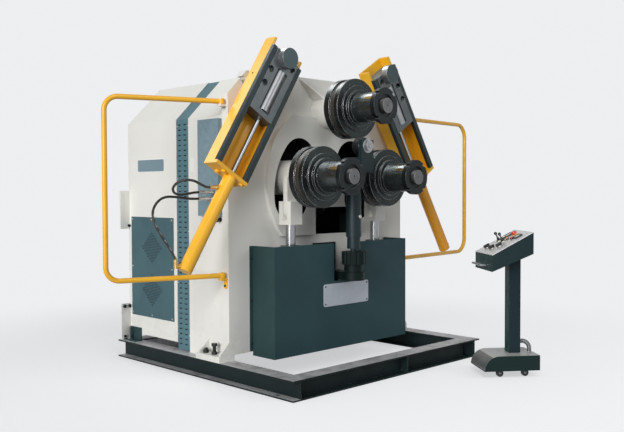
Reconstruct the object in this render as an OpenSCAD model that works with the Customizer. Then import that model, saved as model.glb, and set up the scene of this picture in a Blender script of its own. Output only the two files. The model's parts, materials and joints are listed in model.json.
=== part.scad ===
// Angle roll bender: section bending machine with three driven rolls, two side guides,
// a centre guide, guard gates and a rolling control console.
// Millimetres. Origin on the floor at the middle of the base frame, X to the right,
// Y to the back, Z up. The rolls face -Y.

/* [Base frame] */
// Outer depth of the base frame
base_d = 2430; // [2400:10:2800]
// Height of the base beams
beam_h = 160; // [140:5:200]
// Flange width of the base beams
beam_b = 160; // [150:5:200]
// Flange thickness of the base beams
beam_tf = 13; // [9:1:20]
// Web thickness of the base beams
beam_tw = 8; // [6:1:14]
// Diameter of the floor anchor holes
anchor_d = 26; // [18:1:32]
// Distance of the anchor holes from the beam ends
anchor_in = 215; // [190:5:300]

/* [Machine frame] */
// Distance of the front plate face in front of the base middle
plate_y = 335; // [325:5:345]
// Thickness of the front plate
plate_t = 80; // [60:2:84]
// Height of the front plate top
plate_top = 2577; // [2560:1:2620]
// Chamfer at the top corners of the front plate
plate_cut = 203; // [150:1:210]
// Width over the side plates and covers
body_w = 2200; // [2100:2:2300]
// Height where the roof slope starts
wall_top = 2200; // [2180:5:2230]
// Height of the flat roof
roof_top = 2560; // [2545:1:2590]
// Thickness of the side plates
side_t = 40; // [25:1:60]
// Thickness of the foot plates
foot_t = 50; // [30:1:70]
// Length of the foot plates
foot_l = 320; // [300:5:350]
// Thickness of the raised ring plate
ring_t = 40; // [20:1:50]
// Outer radius of the raised ring plate
ring_r = 720; // [700:2:740]

/* [Rolls] */
// Half spacing of the lower roll axes
roll_x = 420; // [412:1:430]
// Height of the lower roll axes
roll_z = 1686; // [1676:1:1694]
// Height of the upper roll axis
top_z = 2289; // [2284:1:2310]
// Diameter of the roll flange discs
disc_d = 520; // [500:2:524]
// Diameter of the working band between the discs
band_d = 490; // [450:2:496]
// Width of the working band
band_t = 55; // [40:1:60]
// Thickness of the rear disc
rear_disc_t = 60; // [40:1:65]
// Thickness of the front disc
front_disc_t = 45; // [30:1:50]
// Length of the spacer sleeve
sleeve_l = 240; // [200:2:280]
// Outer diameter of the spacer sleeve
sleeve_d = 255; // [235:1:265]
// Diameter of the lock nut
nut_d = 308; // [290:2:320]
// Thickness of the lock nut
nut_t = 45; // [35:1:60]
// Shaft diameter in the housing
shaft_d = 180; // [170:1:190]
// Shaft diameter under the roll
seat_d = 160; // [150:1:168]
// Shaft diameter at the front end
nose_d = 128; // [110:1:140]
// Outer diameter of the bearing housings
house_d = 300; // [280:2:310]
// Length of the housings in front of the front plate
house_l = 250; // [240:2:260]

/* [Roll drive] */
// Outer diameter of the gear units
gear_d = 340; // [320:2:350]
// Length of the gear units
gear_l = 260; // [220:2:300]
// Outer diameter of the hydraulic motors
motor_d = 170; // [140:2:200]
// Length of the hydraulic motors
motor_l = 200; // [150:2:240]

/* [Swing arms] */
// Height of the arm pivot
pivot_z = 1550; // [1535:1:1565]
// Diameter of the arm pivot pin
pivot_d = 160; // [130:1:170]
// Thickness of each arm web
arm_t = 150; // [120:2:152]
// Distance of the lift pin from the machine middle
lift_x = 548; // [542:1:556]
// Height of the lift pin
lift_z = 1400; // [1395:1:1405]
// Distance of the lift pin in front of the front plate
lift_y = 147; // [142:1:152]
// Diameter of the lift pin
lift_pin_d = 50; // [40:1:54]
// Thickness of the lift lug
lug_t = 50; // [40:1:54]
// Diameter of the bending cylinder rod
rod_d = 85; // [70:1:90]
// Outer diameter of the bending cylinder
barrel_d = 180; // [170:2:184]
// Bore of the bending cylinder
barrel_bore = 140; // [125:1:150]

/* [Side guides] */
// Distance of the guide foot from the machine middle
guide_x = 1227; // [1220:1:1240]
// Height of the guide foot
guide_z = 1725; // [1715:1:1740]
// Lean of the guides from upright in degrees
guide_a = 32; // [31:0.5:33]
// Width of the guide channel
guide_w = 358; // [350:1:370]
// Depth of the guide channel with rails
guide_d = 160; // [158:1:170]
// Length of the guide channel
guide_l = 1137; // [1120:1:1150]
// Gap between the guide channel and the front plate
guide_gap = 50; // [46:1:60]
// Wall thickness of the guide channel
guide_t = 25; // [20:1:28]
// Width of the slide rails
rail_w = 45; // [40:1:48]
// Thickness of the slide rails
rail_t = 40; // [36:1:42]
// Length of the guide cylinder tube
tube_l = 850; // [820:2:880]
// Outer diameter of the guide cylinder tube
tube_d = 110; // [106:1:116]
// Bore of the guide cylinder tube
tube_bore = 80; // [70:1:90]
// Diameter of the guide piston rod
guide_rod_d = 40; // [32:1:46]
// Length of the guide carriage
car_l = 592; // [580:1:600]
// Diameter of the long guide roller
face_d = 96; // [90:1:98]
// Length of the long guide roller
face_l = 390; // [380:1:396]
// Diameter of the guide end roll
pin_roll_d = 174; // [166:1:178]
// Length of the guide end roll
pin_roll_l = 63; // [56:1:70]

/* [Centre guide] */
// Distance of the centre post in front of the front plate
post_y = 377; // [374:1:380]
// Diameter of the centre post
post_d = 135; // [128:1:140]
// Diameter of the post stem
stem_d = 60; // [50:1:70]
// Diameter of the hand collar
collar_d = 214; // [200:2:220]
// Height of the centre guide roll axis
cg_z = 1957; // [1950:1:1960]
// Diameter of the centre guide roll
cg_d = 150; // [140:1:154]
// Diameter of the centre guide roll axle
cg_axle_d = 40; // [32:1:46]

/* [Covers] */
// Sheet thickness of the covers
sheet_t = 5; // [4:0.5:6]
// Front of the vent band
vent_y = 226; // [220:1:232]
// Width of the vent band
vent_w = 180; // [170:1:190]
// Back of the rear cabinet
cab_y = 1190; // [1180:5:1200]
// Height of the rear cabinet floor
cab_z = 225; // [222:1:240]
// Width of the front apron
apron_w = 1706; // [1690:2:1720]
// Top of the front apron
apron_z = 1107; // [1104:1:1112]
// Bottom of the front apron
apron_b = 175; // [170:1:180]
// Depth of the front apron
apron_d = 275; // [272:1:280]
// Half width of the apron notch
notch_w = 142; // [136:1:150]
// Height of the apron notch floor
notch_z = 772; // [765:1:775]
// Thickness of the side cover box
cover_t = 50; // [40:1:60]
// Bottom of the side cover box
cover_b = 1360; // [1340:1:1380]
// Top of the side cover box
cover_top = 2170; // [2150:1:2180]
// Back of the side cover box
cover_y = 25; // [15:1:40]
// Bottom of the access panels
access_b = 400; // [380:1:420]
// Top of the access panels
access_top = 1330; // [1310:1:1350]
// Margin in front of the access panels
access_front = 49; // [40:1:58]
// Margin behind the access panels
access_back = 52; // [40:1:60]
// Thickness of the access panels
access_t = 6; // [4:1:8]

/* [Guard gates] */
// Reach of the left gate from its hinge
gate_l_left = 950; // [920:5:980]
// Reach of the right gate from its hinge
gate_l_right = 1300; // [1250:5:1350]
// Swing of the left gate to the back in degrees
gate_a_left = 18; // [15:1:30]
// Swing of the right gate to the back in degrees
gate_a_right = 5; // [2:1:20]
// Height of the upper gate bar
gate_top = 2303; // [2295:1:2315]
// Height of the lower gate bar
gate_bot = 875; // [865:1:890]
// Bend radius at the left gate's corners
gate_r_left = 108; // [95:1:125]
// Bend radius at the right gate's corners
gate_r_right = 150; // [120:5:170]
// Diameter of the gate tube
gate_d = 42; // [38:1:46]
// Diameter of the gate hinge pins
hinge_d = 20; // [16:1:24]

/* [Console] */
// X of the console middle
con_x = 750; // [740:1:770]
// Y of the console middle
con_y = -1797; // [-1850:1:-1780]
// Turn of the console in degrees
con_a = -37.5; // [-45:0.5:-30]
// Length of the console base
con_l = 455; // [450:1:470]
// Nose of the console base past its low end
con_nose = 25; // [15:1:30]
// Width of the console base
con_w = 366; // [360:1:380]
// Underside of the console base
con_z = 55; // [52:1:60]
// Height of the console base shell
con_h = 127; // [124:1:132]
// Length of the console post section
cpost_l = 100; // [90:1:110]
// Width of the console post section
cpost_w = 105; // [100:1:120]
// Length of the console box
box_l = 355; // [350:1:365]
// Width of the console box
box_w = 430; // [420:1:440]
// Underside of the box at the low end
box_z0 = 893; // [885:1:900]
// Rise of the box underside
box_rise = 145; // [140:1:150]
// Height of the box at the low end
box_h0 = 137; // [132:1:142]
// Height of the box at the high end
box_h1 = 179; // [175:1:185]
// Diameter of the console wheels
wheel_d = 60; // [56:1:64]
// Diameter of the console conduit
conduit_d = 38; // [34:1:40]

/* [Fits] */
// Radial clearance of running fits
run_fit = 0.05; // [0.03:0.01:0.1]
// Radial clearance of slip fits inside one body
slip_fit = 0.1; // [0.05:0.01:0.2]
// Clearance between pieces that slide past each other
slide_gap = 4; // [3:0.5:5]
// Play of the lift pin in its slot
slot_play = 3; // [2.5:0.1:4]
// Gap beside turning pieces
side_gap = 0.5; // [0.3:0.1:1]
// Clearance round the swinging housings
open_gap = 25; // [22:1:28]
// Diameter of the control stems
stem_c = 14; // [12:1:16]
// Diameter of the joystick balls in the panel
joy_d = 34; // [30:1:36]

/* [Hidden] */
$fn = 64;

cream = [0.85, 0.84, 0.79];
dark = [0.13, 0.18, 0.20];
yellow = [0.90, 0.62, 0.12];
steel = [0.55, 0.56, 0.58];
gun = [0.22, 0.24, 0.25];
chrome = [0.80, 0.80, 0.82];
black = [0.04, 0.04, 0.04];
teal = [0.24, 0.33, 0.37];

anchor_sy = base_d - 2 * anchor_in;
plate_over = 10;
foot_over = 105;
plate_w = body_w + 2 * plate_over;
base_w = plate_w + 2 * foot_over;
yp = -plate_y;
yb = yp + plate_t;
y_house = yp - house_l;
y_rear = y_house - 15;
y_band = y_rear - rear_disc_t;
y_front = y_band - band_t;
y_face = y_front - front_disc_t;
y_step1 = y_face - 15;
y_step2 = y_step1 - 25;
y_sleeve = y_step2 - sleeve_l;
y_nut = y_sleeve - nut_t;
y_nose = y_nut - 24;
arm_y0 = yb + 20;
arm_y1 = arm_y0 + arm_t + 10;
house_back = arm_y1 + arm_t + 25;
back_y1 = vent_y;
back_t = 75;
back_y0 = back_y1 - back_t;
arm_r = sqrt(roll_x * roll_x + (roll_z - pivot_z) * (roll_z - pivot_z));
arm_deg = atan2(roll_z - pivot_z, roll_x);
open_r = max(house_d, gear_d) / 2 + open_gap;
foot_z = beam_h + foot_t;
slope_run = roof_top - wall_top;
bw = body_w / 2;
lift_yc = yp - lift_y;
barrel_z = 330;
barrel_l = 770;
gland_l = 60;
shoe_w = 85;
shoe_h = 90;
piston_z = barrel_z + 320;
clevis_low = 120;
clevis_floor = 80;
clevis_w = 136;
clevis_t = lug_t + 4 + 92;
clevis_h = 200;
lug_r = 60;
slot_l = 56;
ring_up = 110;
ring_x = 800;
ring_side = 1880;
ring_cut = 420;
ring_top = 2235;
window_l = 138;
window_r = 300;
window_b = 1175;
window_top = 1420;
eye_d = 62;
eye_l = 28;
eye_x = 165;
eye_z = 80;
rib_t = 24;
rib_a = 43.4;
rib_r0 = house_d / 2 - 10;
rib_r1 = 398;
rib_out = 140;
rib_edge = 12;
cover_gap = 2;
gusset_h = 105;
gusset_t = 25;
gusset_back = 40;
corner_w = 100;
corner_t = 15;
corner_low = 500;
corner_z0 = 1214;
corner_z1 = 1573;
clip_h = 123;
clip_t = 12;
clip_y0 = cab_y - 205;
clip_y1 = cab_y - 20;
bolt_in = 56;
bolt_tall = 136;
bolt_low = 250;
bolt_d = 30;
bolt_head = 54;
boss_r = 150;
step1_d = 400;
step2_d = 320;
screw_r = 225;
screw_d = 14;
web_r = house_d / 2 - 10;
across = [sin(arm_deg), cos(arm_deg)];
slot_r = lift_pin_d / 2 + slot_play;
post_yc = yp - post_y;
bracket_z0 = notch_z + 6;
bracket_z1 = notch_z + 78;
bracket_w = 70;
bracket_d = 190;
bracket_t = 20;
neck_z = 1160;
head_z = 1728;
head_w = 80;
face_w = 75;
head_front = post_yc - 168;
head_nut = 100;
gy1 = yp - guide_gap;
gy0 = gy1 - guide_d;
frame_over = 85;
car_z = guide_l - car_l;
car_hole_d = 62;
face_x = 15;
face_y = gy0 + 30;
face_z = car_z + 52;
grod_x = 40;
grod_y = gy0 + 60;
gate_hx = plate_w / 2 + 40;
gate_hy = yp + 35;
box_u0 = -203;
box_u1 = box_u0 + box_l;
cpost_u = 55;
box_slope = box_rise / box_l;
panel_rise = box_rise + box_h1 - box_h0;
panel_a = atan2(panel_rise, box_l);
panel_l = sqrt(box_l * box_l + panel_rise * panel_rise);
panel_t = 4;
con_top = con_z + con_h;
axle_d = 12;
wheel_front = -105;
wheel_rear = 115;
wheel_v = 126;
pack_in = 290;
tank_w = 1600;
tank_d = 400;
tank_z = 560;
motor_up = 220;
motor_end = 230;
pump_l = 480;
pump_d = 320;
bell_d = 200;
shoe_l = 380;
shoe_d = 200;
shoe_up = 100;
valve_x = 450;
valve_l = 250;
valve_d = 240;
con_u0 = -con_l / 2 - con_nose;
conduit_up = 92;
conduit_out = 33;
conduit_r = 66;
hose_d = 20;
ferrule_d = hose_d + 8;
hex_d = hose_d + 18;
hose_z1 = 1561;
hose_z2 = 1508;
hose_y = -200;
port_z1 = 1600;
port_z2 = 1000;
elbow_x = -1738;
elbow_up = 56;
elbow_d = hose_d + 14;
mouth_d = hose_d + 7;
mouth_l = 10;

// Hose routes from fitting to fitting
route_upper = [[-1296, hose_y, hose_z1], [-1350, hose_y, hose_z1 - 2], [-1410, -205, 1551],
    [-1510, -232, 1543], [-1600, -280, 1556], [-1650, -330, 1592], [-1650, -380, 1632], [-1614, -428, 1656],
    [-1556, -462, 1652], [-1502, -480, 1626], [-1458, grod_y, 1606], [-1424, grod_y, port_z1],
    [-1398, grod_y, port_z1]];
route_lower = [[-1296, hose_y, hose_z2], [-1360, hose_y - 2, hose_z2], [-1440, -210, 1512],
    [-1566, -240, 1524], [-1668, -272, 1526], [-1752, -302, 1505], [-1818, -332, 1460], [-1858, -362, 1404],
    [-1864, -392, 1334], [-1842, -415, 1268], [-1804, -440, 1192], [-1773, -461, 1132], [-1752, -475, 1089],
    [elbow_x, grod_y, port_z2 + elbow_up - 4]];

// Point between two route points on a smooth curve
function cr(a, b, c, d, t) = 0.5 * (2 * b + (c - a) * t + (2 * a - 5 * b + 4 * c - d) * t * t
    + (3 * b - a - 3 * c + d) * t * t * t);
function smooth(p, n) = concat([for (i = [0 : len(p) - 2], k = [0 : n - 1])
    cr(p[max(i - 1, 0)], p[i], p[i + 1], p[min(i + 2, len(p) - 1)], k / n)], [p[len(p) - 1]]);
function unit(v) = v / norm(v);
function tang(p, i) = unit(p[min(i + 1, len(p) - 1)] - p[max(i - 1, 0)]);

module hose(route, d) {
    p = smooth(route, 3);
    m = 10;
    n = len(p);
    pts = [for (i = [0 : n - 1], k = [0 : m - 1])
        let (t = tang(p, i), s = unit([0.3, 1, 0.2] - ([0.3, 1, 0.2] * t) * t), w = cross(t, s))
        p[i] + d / 2 * (cos(360 * k / m) * s + sin(360 * k / m) * w)];
    sides = [for (i = [0 : n - 2], k = [0 : m - 1])
        let (a = i * m + k, b = i * m + (k + 1) % m) each [[a, a + m, b], [b, a + m, b + m]]];
    caps = [[for (k = [0 : m - 1]) k], [for (k = [m - 1 : -1 : 0]) (n - 1) * m + k]];
    polyhedron(pts, concat(sides, caps));
}

// Cylinder along Y from y0 to y1 at x and z
module cyl_y(x, z, d, y0, y1) {
    translate([x, y0, z]) rotate([-90, 0, 0]) cylinder(d = d, h = y1 - y0);
}

// Cylinder along X from x0 to x1 at y and z
module cyl_x(y, z, d, x0, x1) {
    translate([x0, y, z]) rotate([0, 90, 0]) cylinder(d = d, h = x1 - x0);
}

// Box from one corner to the opposite corner
module box(a, b) {
    translate(a) cube(b - a);
}

module both() {
    children();
    mirror([1, 0, 0]) children();
}

// Plate in the XZ plane from y0 to y1
module plate_xz(pts, y0, y1) {
    translate([0, y1, 0]) rotate([90, 0, 0]) linear_extrude(y1 - y0) polygon(pts);
}

// Base frame
module beam(l) {
    box([-l / 2, -beam_b / 2, 0], [l / 2, beam_b / 2, beam_tf]);
    box([-l / 2, -beam_b / 2, beam_h - beam_tf], [l / 2, beam_b / 2, beam_h]);
    box([-l / 2, -beam_tw / 2, 0], [l / 2, beam_tw / 2, beam_h]);
}

module base_frame() color(dark) {
    both() difference() {
        translate([-base_w / 2 + beam_b / 2, 0, 0]) rotate([0, 0, 90]) beam(base_d);
        for (s = [-1, 1])
            translate([-base_w / 2 + beam_b / 4, s * anchor_sy / 2, -1])
                cylinder(d = anchor_d, h = beam_tf + 2);
    }
    translate([0, -base_d / 2 + beam_b / 2, 0]) {
        beam(base_w - 2 * beam_b);
        box([140, -beam_b / 2 + 8, beam_tf], [150, -beam_tw / 2, beam_h - beam_tf]);
    }
    translate([0, base_d / 2 - beam_b / 2, 0]) beam(base_w - 2 * beam_b);
}

// Points of an arc about c from angle a0 up to but not at a1
function arc(c, r, a0, a1, n) = [for (i = [0 : n - 1])
    let (a = a0 + (a1 - a0) * i / n) c + r * [cos(a), sin(a)]];

// Ring sector opening with round ends for a swinging housing on the right side
module swing_opening(y0, y1) {
    a0 = arm_deg - 25;
    a1 = arm_deg + 23;
    pivot = [0, pivot_z];
    plate_xz(concat(arc(pivot, arm_r + open_r, a0, a1, 16),
        arc(pivot + arm_r * [cos(a1), sin(a1)], open_r, a1, a1 + 180, 16),
        arc(pivot, arm_r - open_r, a1, a0, 16),
        arc(pivot + arm_r * [cos(a0), sin(a0)], open_r, a0 + 180, a0 + 360, 16)), y0, y1);
}

module front_plate() color(cream) difference() {
    union() {
        plate_xz([[-plate_w / 2, foot_z], [plate_w / 2, foot_z], [plate_w / 2, plate_top - plate_cut],
            [plate_w / 2 - plate_cut, plate_top], [-plate_w / 2 + plate_cut, plate_top],
            [-plate_w / 2, plate_top - plate_cut]], yp, yb);
        intersection() {
            cyl_y(0, pivot_z + ring_up, 2 * ring_r, yp - ring_t, yp);
            plate_xz([[-ring_x, window_b], [ring_x, window_b], [ring_x, ring_side], [ring_cut, ring_top],
                [-ring_cut, ring_top], [-ring_x, ring_side]], yp - ring_t, yp);
        }
        cyl_y(0, top_z, house_d, y_house, house_back);
        for (a = [rib_a, 180 - rib_a])
            translate([0, 0, top_z]) rotate([0, -a, 0]) linear_extrude(rib_t, center = true)
                polygon([[rib_r0, yp], [rib_r1, yp], [rib_r1, yp - rib_edge], [rib_r0, yp - rib_out]]);
        both() for (z = [gate_top, gate_bot]) {
            box([plate_w / 2 - 1, gate_hy - 22, z - gate_d / 2 - side_gap - 20],
                [gate_hx + 24, gate_hy + 22, z - gate_d / 2 - side_gap]);
            translate([gate_hx, gate_hy, z - gate_d / 2 - 10])
                cylinder(d = hinge_d, h = gate_d + 18);
        }
    }
    both() swing_opening(yp - ring_t - 1, yb + 1);
    cyl_y(0, top_z, shaft_d + 2 * run_fit, y_house - 1, house_back + 1);
    cyl_y(0, pivot_z, pivot_d + 2 * slip_fit, yp, yb + 1);
    box([-window_l, yp - ring_t - 1, window_b], [window_r, yb + 1, window_top]);
    both() for (s = [0, eye_l])
        cyl_y(plate_w / 2 - eye_x - s, plate_top - eye_z - s, eye_d, yp - 1, yb + 1);
}

module side_plates() color(cream) both() {
    box([-bw, yb, foot_z], [-bw + side_t, back_y0, wall_top]);
    box([-bw, yp + foot_l, beam_h], [-bw + side_t, back_y0, foot_z]);
    box([-base_w / 2, yp, beam_h], [-base_w / 2 + beam_b, yp + foot_l, foot_z]);
    for (g = [[yp, plate_w / 2], [yp + foot_l - gusset_back, bw]])
        plate_xz([[-g[1], foot_z], [-base_w / 2 + 12, foot_z], [-base_w / 2 + 12, foot_z + 16],
            [-g[1], foot_z + gusset_h]], g[0], g[0] + gusset_t);
    for (z = [[beam_h, corner_low], [corner_z0, corner_z1]])
        box([-bw - corner_w, cab_y - corner_t, z[0]], [-bw, cab_y, z[1]]);
}

module back_plate() color(cream) difference() {
    t = sheet_t + side_gap;
    k = t * 0.4142;
    plate_xz([[-bw, beam_h], [-bw + side_t, beam_h], [-bw + side_t, foot_z], [bw - side_t, foot_z],
        [bw - side_t, beam_h], [bw, beam_h], [bw, wall_top], [bw - t - k, wall_top],
        [bw - slope_run - k, roof_top - t], [-bw + slope_run + k, roof_top - t],
        [-bw + t + k, wall_top], [-bw, wall_top]], back_y0, back_y1);
    both() swing_opening(back_y0 - 1, back_y1 + 1);
    cyl_y(0, top_z, gear_d + 20, back_y0 - 1, back_y1 + 1);
    cyl_y(0, pivot_z, pivot_d + 2 * slip_fit, back_y0 - 1, back_y1 + 1);
}

// Outline of walls, slopes and roof, moved in by t
module shell_outline(t, z) {
    k = t * 0.4142;
    polygon([[-bw + t, z], [-bw + t, wall_top - k], [-bw + slope_run + k, roof_top - t],
        [bw - slope_run - k, roof_top - t], [bw - t, wall_top - k], [bw - t, z]]);
}

module sheath(t0, t1, z, y0, y1) {
    translate([0, y1, 0]) rotate([90, 0, 0]) linear_extrude(y1 - y0) difference() {
        shell_outline(t0, z);
        shell_outline(t1, z - 10);
    }
}

module cabinet_shell() color(cream) {
    sheath(0, sheet_t, wall_top, yb, back_y1);
    sheath(0, sheet_t, cab_z, vent_y + vent_w, cab_y);
    translate([0, cab_y, 0]) rotate([90, 0, 0]) linear_extrude(sheet_t) shell_outline(0, cab_z);
    box([-bw, vent_y + vent_w, cab_z], [bw, cab_y, cab_z + sheet_t]);
}

module vent_band() color(teal) sheath(6, 6 + sheet_t, beam_h + 5, vent_y, vent_y + vent_w);

module access_panel() color(teal) both()
    box([-bw - access_t, vent_y + vent_w + access_front, access_b], [-bw, cab_y - access_back, access_top]);

module side_cover() color(teal) {
    y0 = yb + cover_gap;
    difference() {
        box([-bw - cover_t, y0, cover_b], [-bw, cover_y, cover_top]);
        box([-bw - cover_t + sheet_t, y0 + sheet_t, cover_b + sheet_t],
            [-bw + 1, cover_y - sheet_t, cover_top - sheet_t]);
    }
}

module apron() color(dark) difference() {
    union() {
        difference() {
            box([-apron_w / 2, yp - apron_d, apron_b], [apron_w / 2, yp, apron_z]);
            box([-apron_w / 2 + sheet_t, yp - apron_d + sheet_t, apron_b - 1],
                [apron_w / 2 - sheet_t, yp + 1, apron_z + 1]);
        }
        both() box([-apron_w / 2 - 35, yp - sheet_t, apron_b + 40], [-apron_w / 2 + 1, yp, apron_z]);
    }
    box([-notch_w, yp - apron_d - 1, notch_z], [notch_w, yp - apron_d + sheet_t + 1, apron_z + 1]);
}

// Places a left side guide from its own frame, Z along the guide, X to the machine middle
module at_guide() {
    translate([-guide_x, 0, guide_z]) rotate([0, guide_a, 0]) children();
}

module guide_frame() {
    difference() {
        union() {
            for (s = [-1, 1])
                box([s * (guide_w / 2 - guide_t / 2) - guide_t / 2, gy0 + rail_t, 0],
                    [s * (guide_w / 2 - guide_t / 2) + guide_t / 2, gy1, guide_l + frame_over]);
            box([-guide_w / 2, gy1 - 20, 0], [guide_w / 2, gy1, guide_l + frame_over]);
            box([-guide_w / 2, gy0, -30], [guide_w / 2, gy1, 0]);
            box([-100, gy1, 420], [100, yp, 790]);
        }
        translate([grod_x, grod_y, -31]) cylinder(d = guide_rod_d + 2 * run_fit, h = 32);
    }
}

module guide_frames() color(yellow) both() at_guide() guide_frame();

module guide_rails() color(dark) both() at_guide() for (s = [-1, 1])
    box([s * (guide_w / 2 - rail_w / 2) - rail_w / 2, gy0, 0],
        [s * (guide_w / 2 - rail_w / 2) + rail_w / 2, gy0 + rail_t, guide_l]);

module guide_cylinder() difference() {
    union() {
        at_guide() translate([grod_x, grod_y, -30 - tube_l]) cylinder(d = tube_d, h = tube_l);
        for (z = [port_z1, port_z2])
            cyl_x(grod_y, z, 36, port_x(z), port_x(z) + 70);
    }
    at_guide() translate([grod_x, grod_y, -30 - tube_l + 20]) cylinder(d = tube_bore, h = tube_l);
}

// X of the port face at a height on the left guide cylinder
function port_x(z) = -guide_x + grod_x / cos(guide_a) + (z - guide_z) * tan(guide_a) - tube_d * 0.59 - 12;

module guide_cylinders() color(yellow) both() guide_cylinder();

module hose_upper() color(black) hose(route_upper, hose_d);

module hose_lower() color(black) hose(route_lower, hose_d);

module hose_fittings() color(steel) {
    for (z = [hose_z1, hose_z2])
        difference() {
            union() {
                cyl_x(hose_y, z, ferrule_d, -1310, -bw - cover_t);
                for (x = [-bw - cover_t - 34, -bw - cover_t - 90])
                    translate([x, hose_y, z]) rotate([0, 90, 0]) cylinder(d = hex_d, h = 24, $fn = 6);
            }
            cyl_x(hose_y, z, hose_d + 2, -1311, -1290);
        }
    difference() {
        union() {
            cyl_x(grod_y, port_z1, ferrule_d, -1412, port_x(port_z1));
            translate([port_x(port_z1) - 26, grod_y, port_z1]) rotate([0, 90, 0])
                cylinder(d = hex_d, h = 26, $fn = 6);
        }
        cyl_x(grod_y, port_z1, hose_d + 2, -1413, -1394);
    }
    difference() {
        union() {
            cyl_x(grod_y, port_z2, ferrule_d, elbow_x, port_x(port_z2));
            translate([elbow_x, grod_y, port_z2 - ferrule_d / 2])
                cylinder(d = elbow_d, h = elbow_up + ferrule_d / 2);
        }
        translate([elbow_x, grod_y, port_z2 + elbow_up - mouth_l]) cylinder(d = mouth_d, h = mouth_l + 1);
    }
}

module bend_cylinder() difference() {
    union() {
        translate([-lift_x, lift_yc, barrel_z]) cylinder(d = barrel_d, h = barrel_l);
        box([-lift_x - shoe_w, lift_yc, barrel_z], [-lift_x + shoe_w, yp, barrel_z + shoe_h]);
    }
    translate([-lift_x, lift_yc, barrel_z + 50]) cylinder(d = barrel_bore, h = barrel_l - gland_l - 50);
    translate([-lift_x, lift_yc, barrel_z + barrel_l - gland_l - 1])
        cylinder(d = rod_d + 2 * run_fit, h = gland_l + 2);
}

module bend_cylinders() color(gun) both() bend_cylinder();

module bend_rod() {
    foot = lift_z - clevis_low;
    difference() {
        box([-lift_x - clevis_w / 2, lift_yc - clevis_t / 2, foot],
            [-lift_x + clevis_w / 2, lift_yc + clevis_t / 2, foot + clevis_h]);
        box([-lift_x - clevis_w, lift_yc - lug_t / 2 - 2, lift_z - clevis_floor],
            [-lift_x + clevis_w, lift_yc + lug_t / 2 + 2, lift_z + clevis_h]);
    }
    cyl_y(-lift_x, lift_z, lift_pin_d, lift_yc - clevis_t / 2 + 6, lift_yc + clevis_t / 2 - 6);
    translate([-lift_x, lift_yc, piston_z]) cylinder(d = rod_d, h = foot - piston_z);
    translate([-lift_x, lift_yc, piston_z]) cylinder(d = barrel_bore - 2 * run_fit, h = 60);
}

module left_rod() color(chrome) bend_rod();

module right_rod() color(chrome) mirror([1, 0, 0]) bend_rod();

// Left swing arm with its web from y0
module swing_arm(y0) difference() {
    union() {
        cyl_y(-roll_x, roll_z, house_d, y_house, house_back);
        plate_xz(concat(arc([0, pivot_z], boss_r, 270 - arm_deg, 450 - arm_deg, 24),
            [[0, pivot_z] + boss_r * across, [-roll_x, roll_z] + web_r * across,
            [-roll_x, roll_z] - web_r * across]), y0, y0 + arm_t);
        plate_xz(concat(arc([-lift_x, lift_z], lug_r, 180, 360, 24),
            [[-lift_x + lug_r, lift_z], [-lift_x + lug_r, roll_z - 110], [-roll_x, roll_z - 110],
            [-roll_x, roll_z], [-lift_x - lug_r, roll_z]]), lift_yc - lug_t / 2, lift_yc + lug_t / 2);
    }
    cyl_y(-roll_x, roll_z, shaft_d + 2 * run_fit, y_house - 1, house_back + 1);
    cyl_y(0, pivot_z, pivot_d + 2 * run_fit, y0 - 1, y0 + arm_t + 1);
    plate_xz(concat(arc([-lift_x - slot_l / 2, lift_z], slot_r, 90, 270, 16),
        arc([-lift_x + slot_l / 2, lift_z], slot_r, -90, 90, 16),
        [[-lift_x + slot_l / 2, lift_z + slot_r]]), lift_yc - lug_t, lift_yc + lug_t);
}

module left_arm() color(cream) swing_arm(arm_y0);

module right_arm() color(cream) mirror([1, 0, 0]) swing_arm(arm_y1);

module pivot_pin() color(steel) cyl_y(0, pivot_z, pivot_d, yp, back_y1);

// Gear unit and hydraulic motor behind a housing
module drive(x, z) difference() {
    union() {
        cyl_y(x, z, gear_d, house_back, house_back + gear_l);
        cyl_y(x, z, motor_d, house_back + gear_l, house_back + gear_l + motor_l);
        translate([x - 60, house_back + gear_l + 40, z - motor_d / 2 - 30])
            cube([120, 90, motor_d / 2 + 30]);
    }
    cyl_y(x, z, seat_d - 20 + 2 * slip_fit + 2, house_back - 1, house_back + 90);
}

module upper_drive() color(gun) drive(0, top_z);

module left_drive() color(gun) drive(-roll_x, roll_z);

module right_drive() color(gun) drive(roll_x, roll_z);

// Roll shaft with a centre hole at the front
module roll_shaft(x, z) difference() {
    union() {
        cyl_y(x, z, nose_d, y_nose, y_rear);
        cyl_y(x, z, seat_d, y_sleeve, y_rear);
        cyl_y(x, z, shaft_d, y_rear, house_back);
        cyl_y(x, z, seat_d - 20, house_back, house_back + 80);
    }
    cyl_y(x, z, 16, y_nose - 1, y_nose + 20);
}

// Discs with the working band, stepped collar ring and spacer sleeve
module roll(x, z) {
    bore = seat_d + 2 * slip_fit;
    difference() {
        union() {
            cyl_y(x, z, disc_d, y_band, y_rear);
            cyl_y(x, z, band_d, y_front, y_band);
            cyl_y(x, z, disc_d, y_face, y_front);
        }
        cyl_y(x, z, bore, y_face - 1, y_rear + 1);
        for (a = [0 : 60 : 300])
            cyl_y(x + screw_r * cos(a), z + screw_r * sin(a), screw_d, y_face - 1, y_face + 25);
    }
    difference() {
        union() {
            cyl_y(x, z, step1_d, y_step1, y_face - side_gap);
            cyl_y(x, z, step2_d, y_step2, y_step1);
        }
        cyl_y(x, z, bore, y_step2 - 1, y_face);
    }
    difference() {
        cyl_y(x, z, sleeve_d, y_sleeve + side_gap, y_step2 - side_gap);
        cyl_y(x, z, bore, y_sleeve - 1, y_step2 + 1);
    }
}

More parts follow.
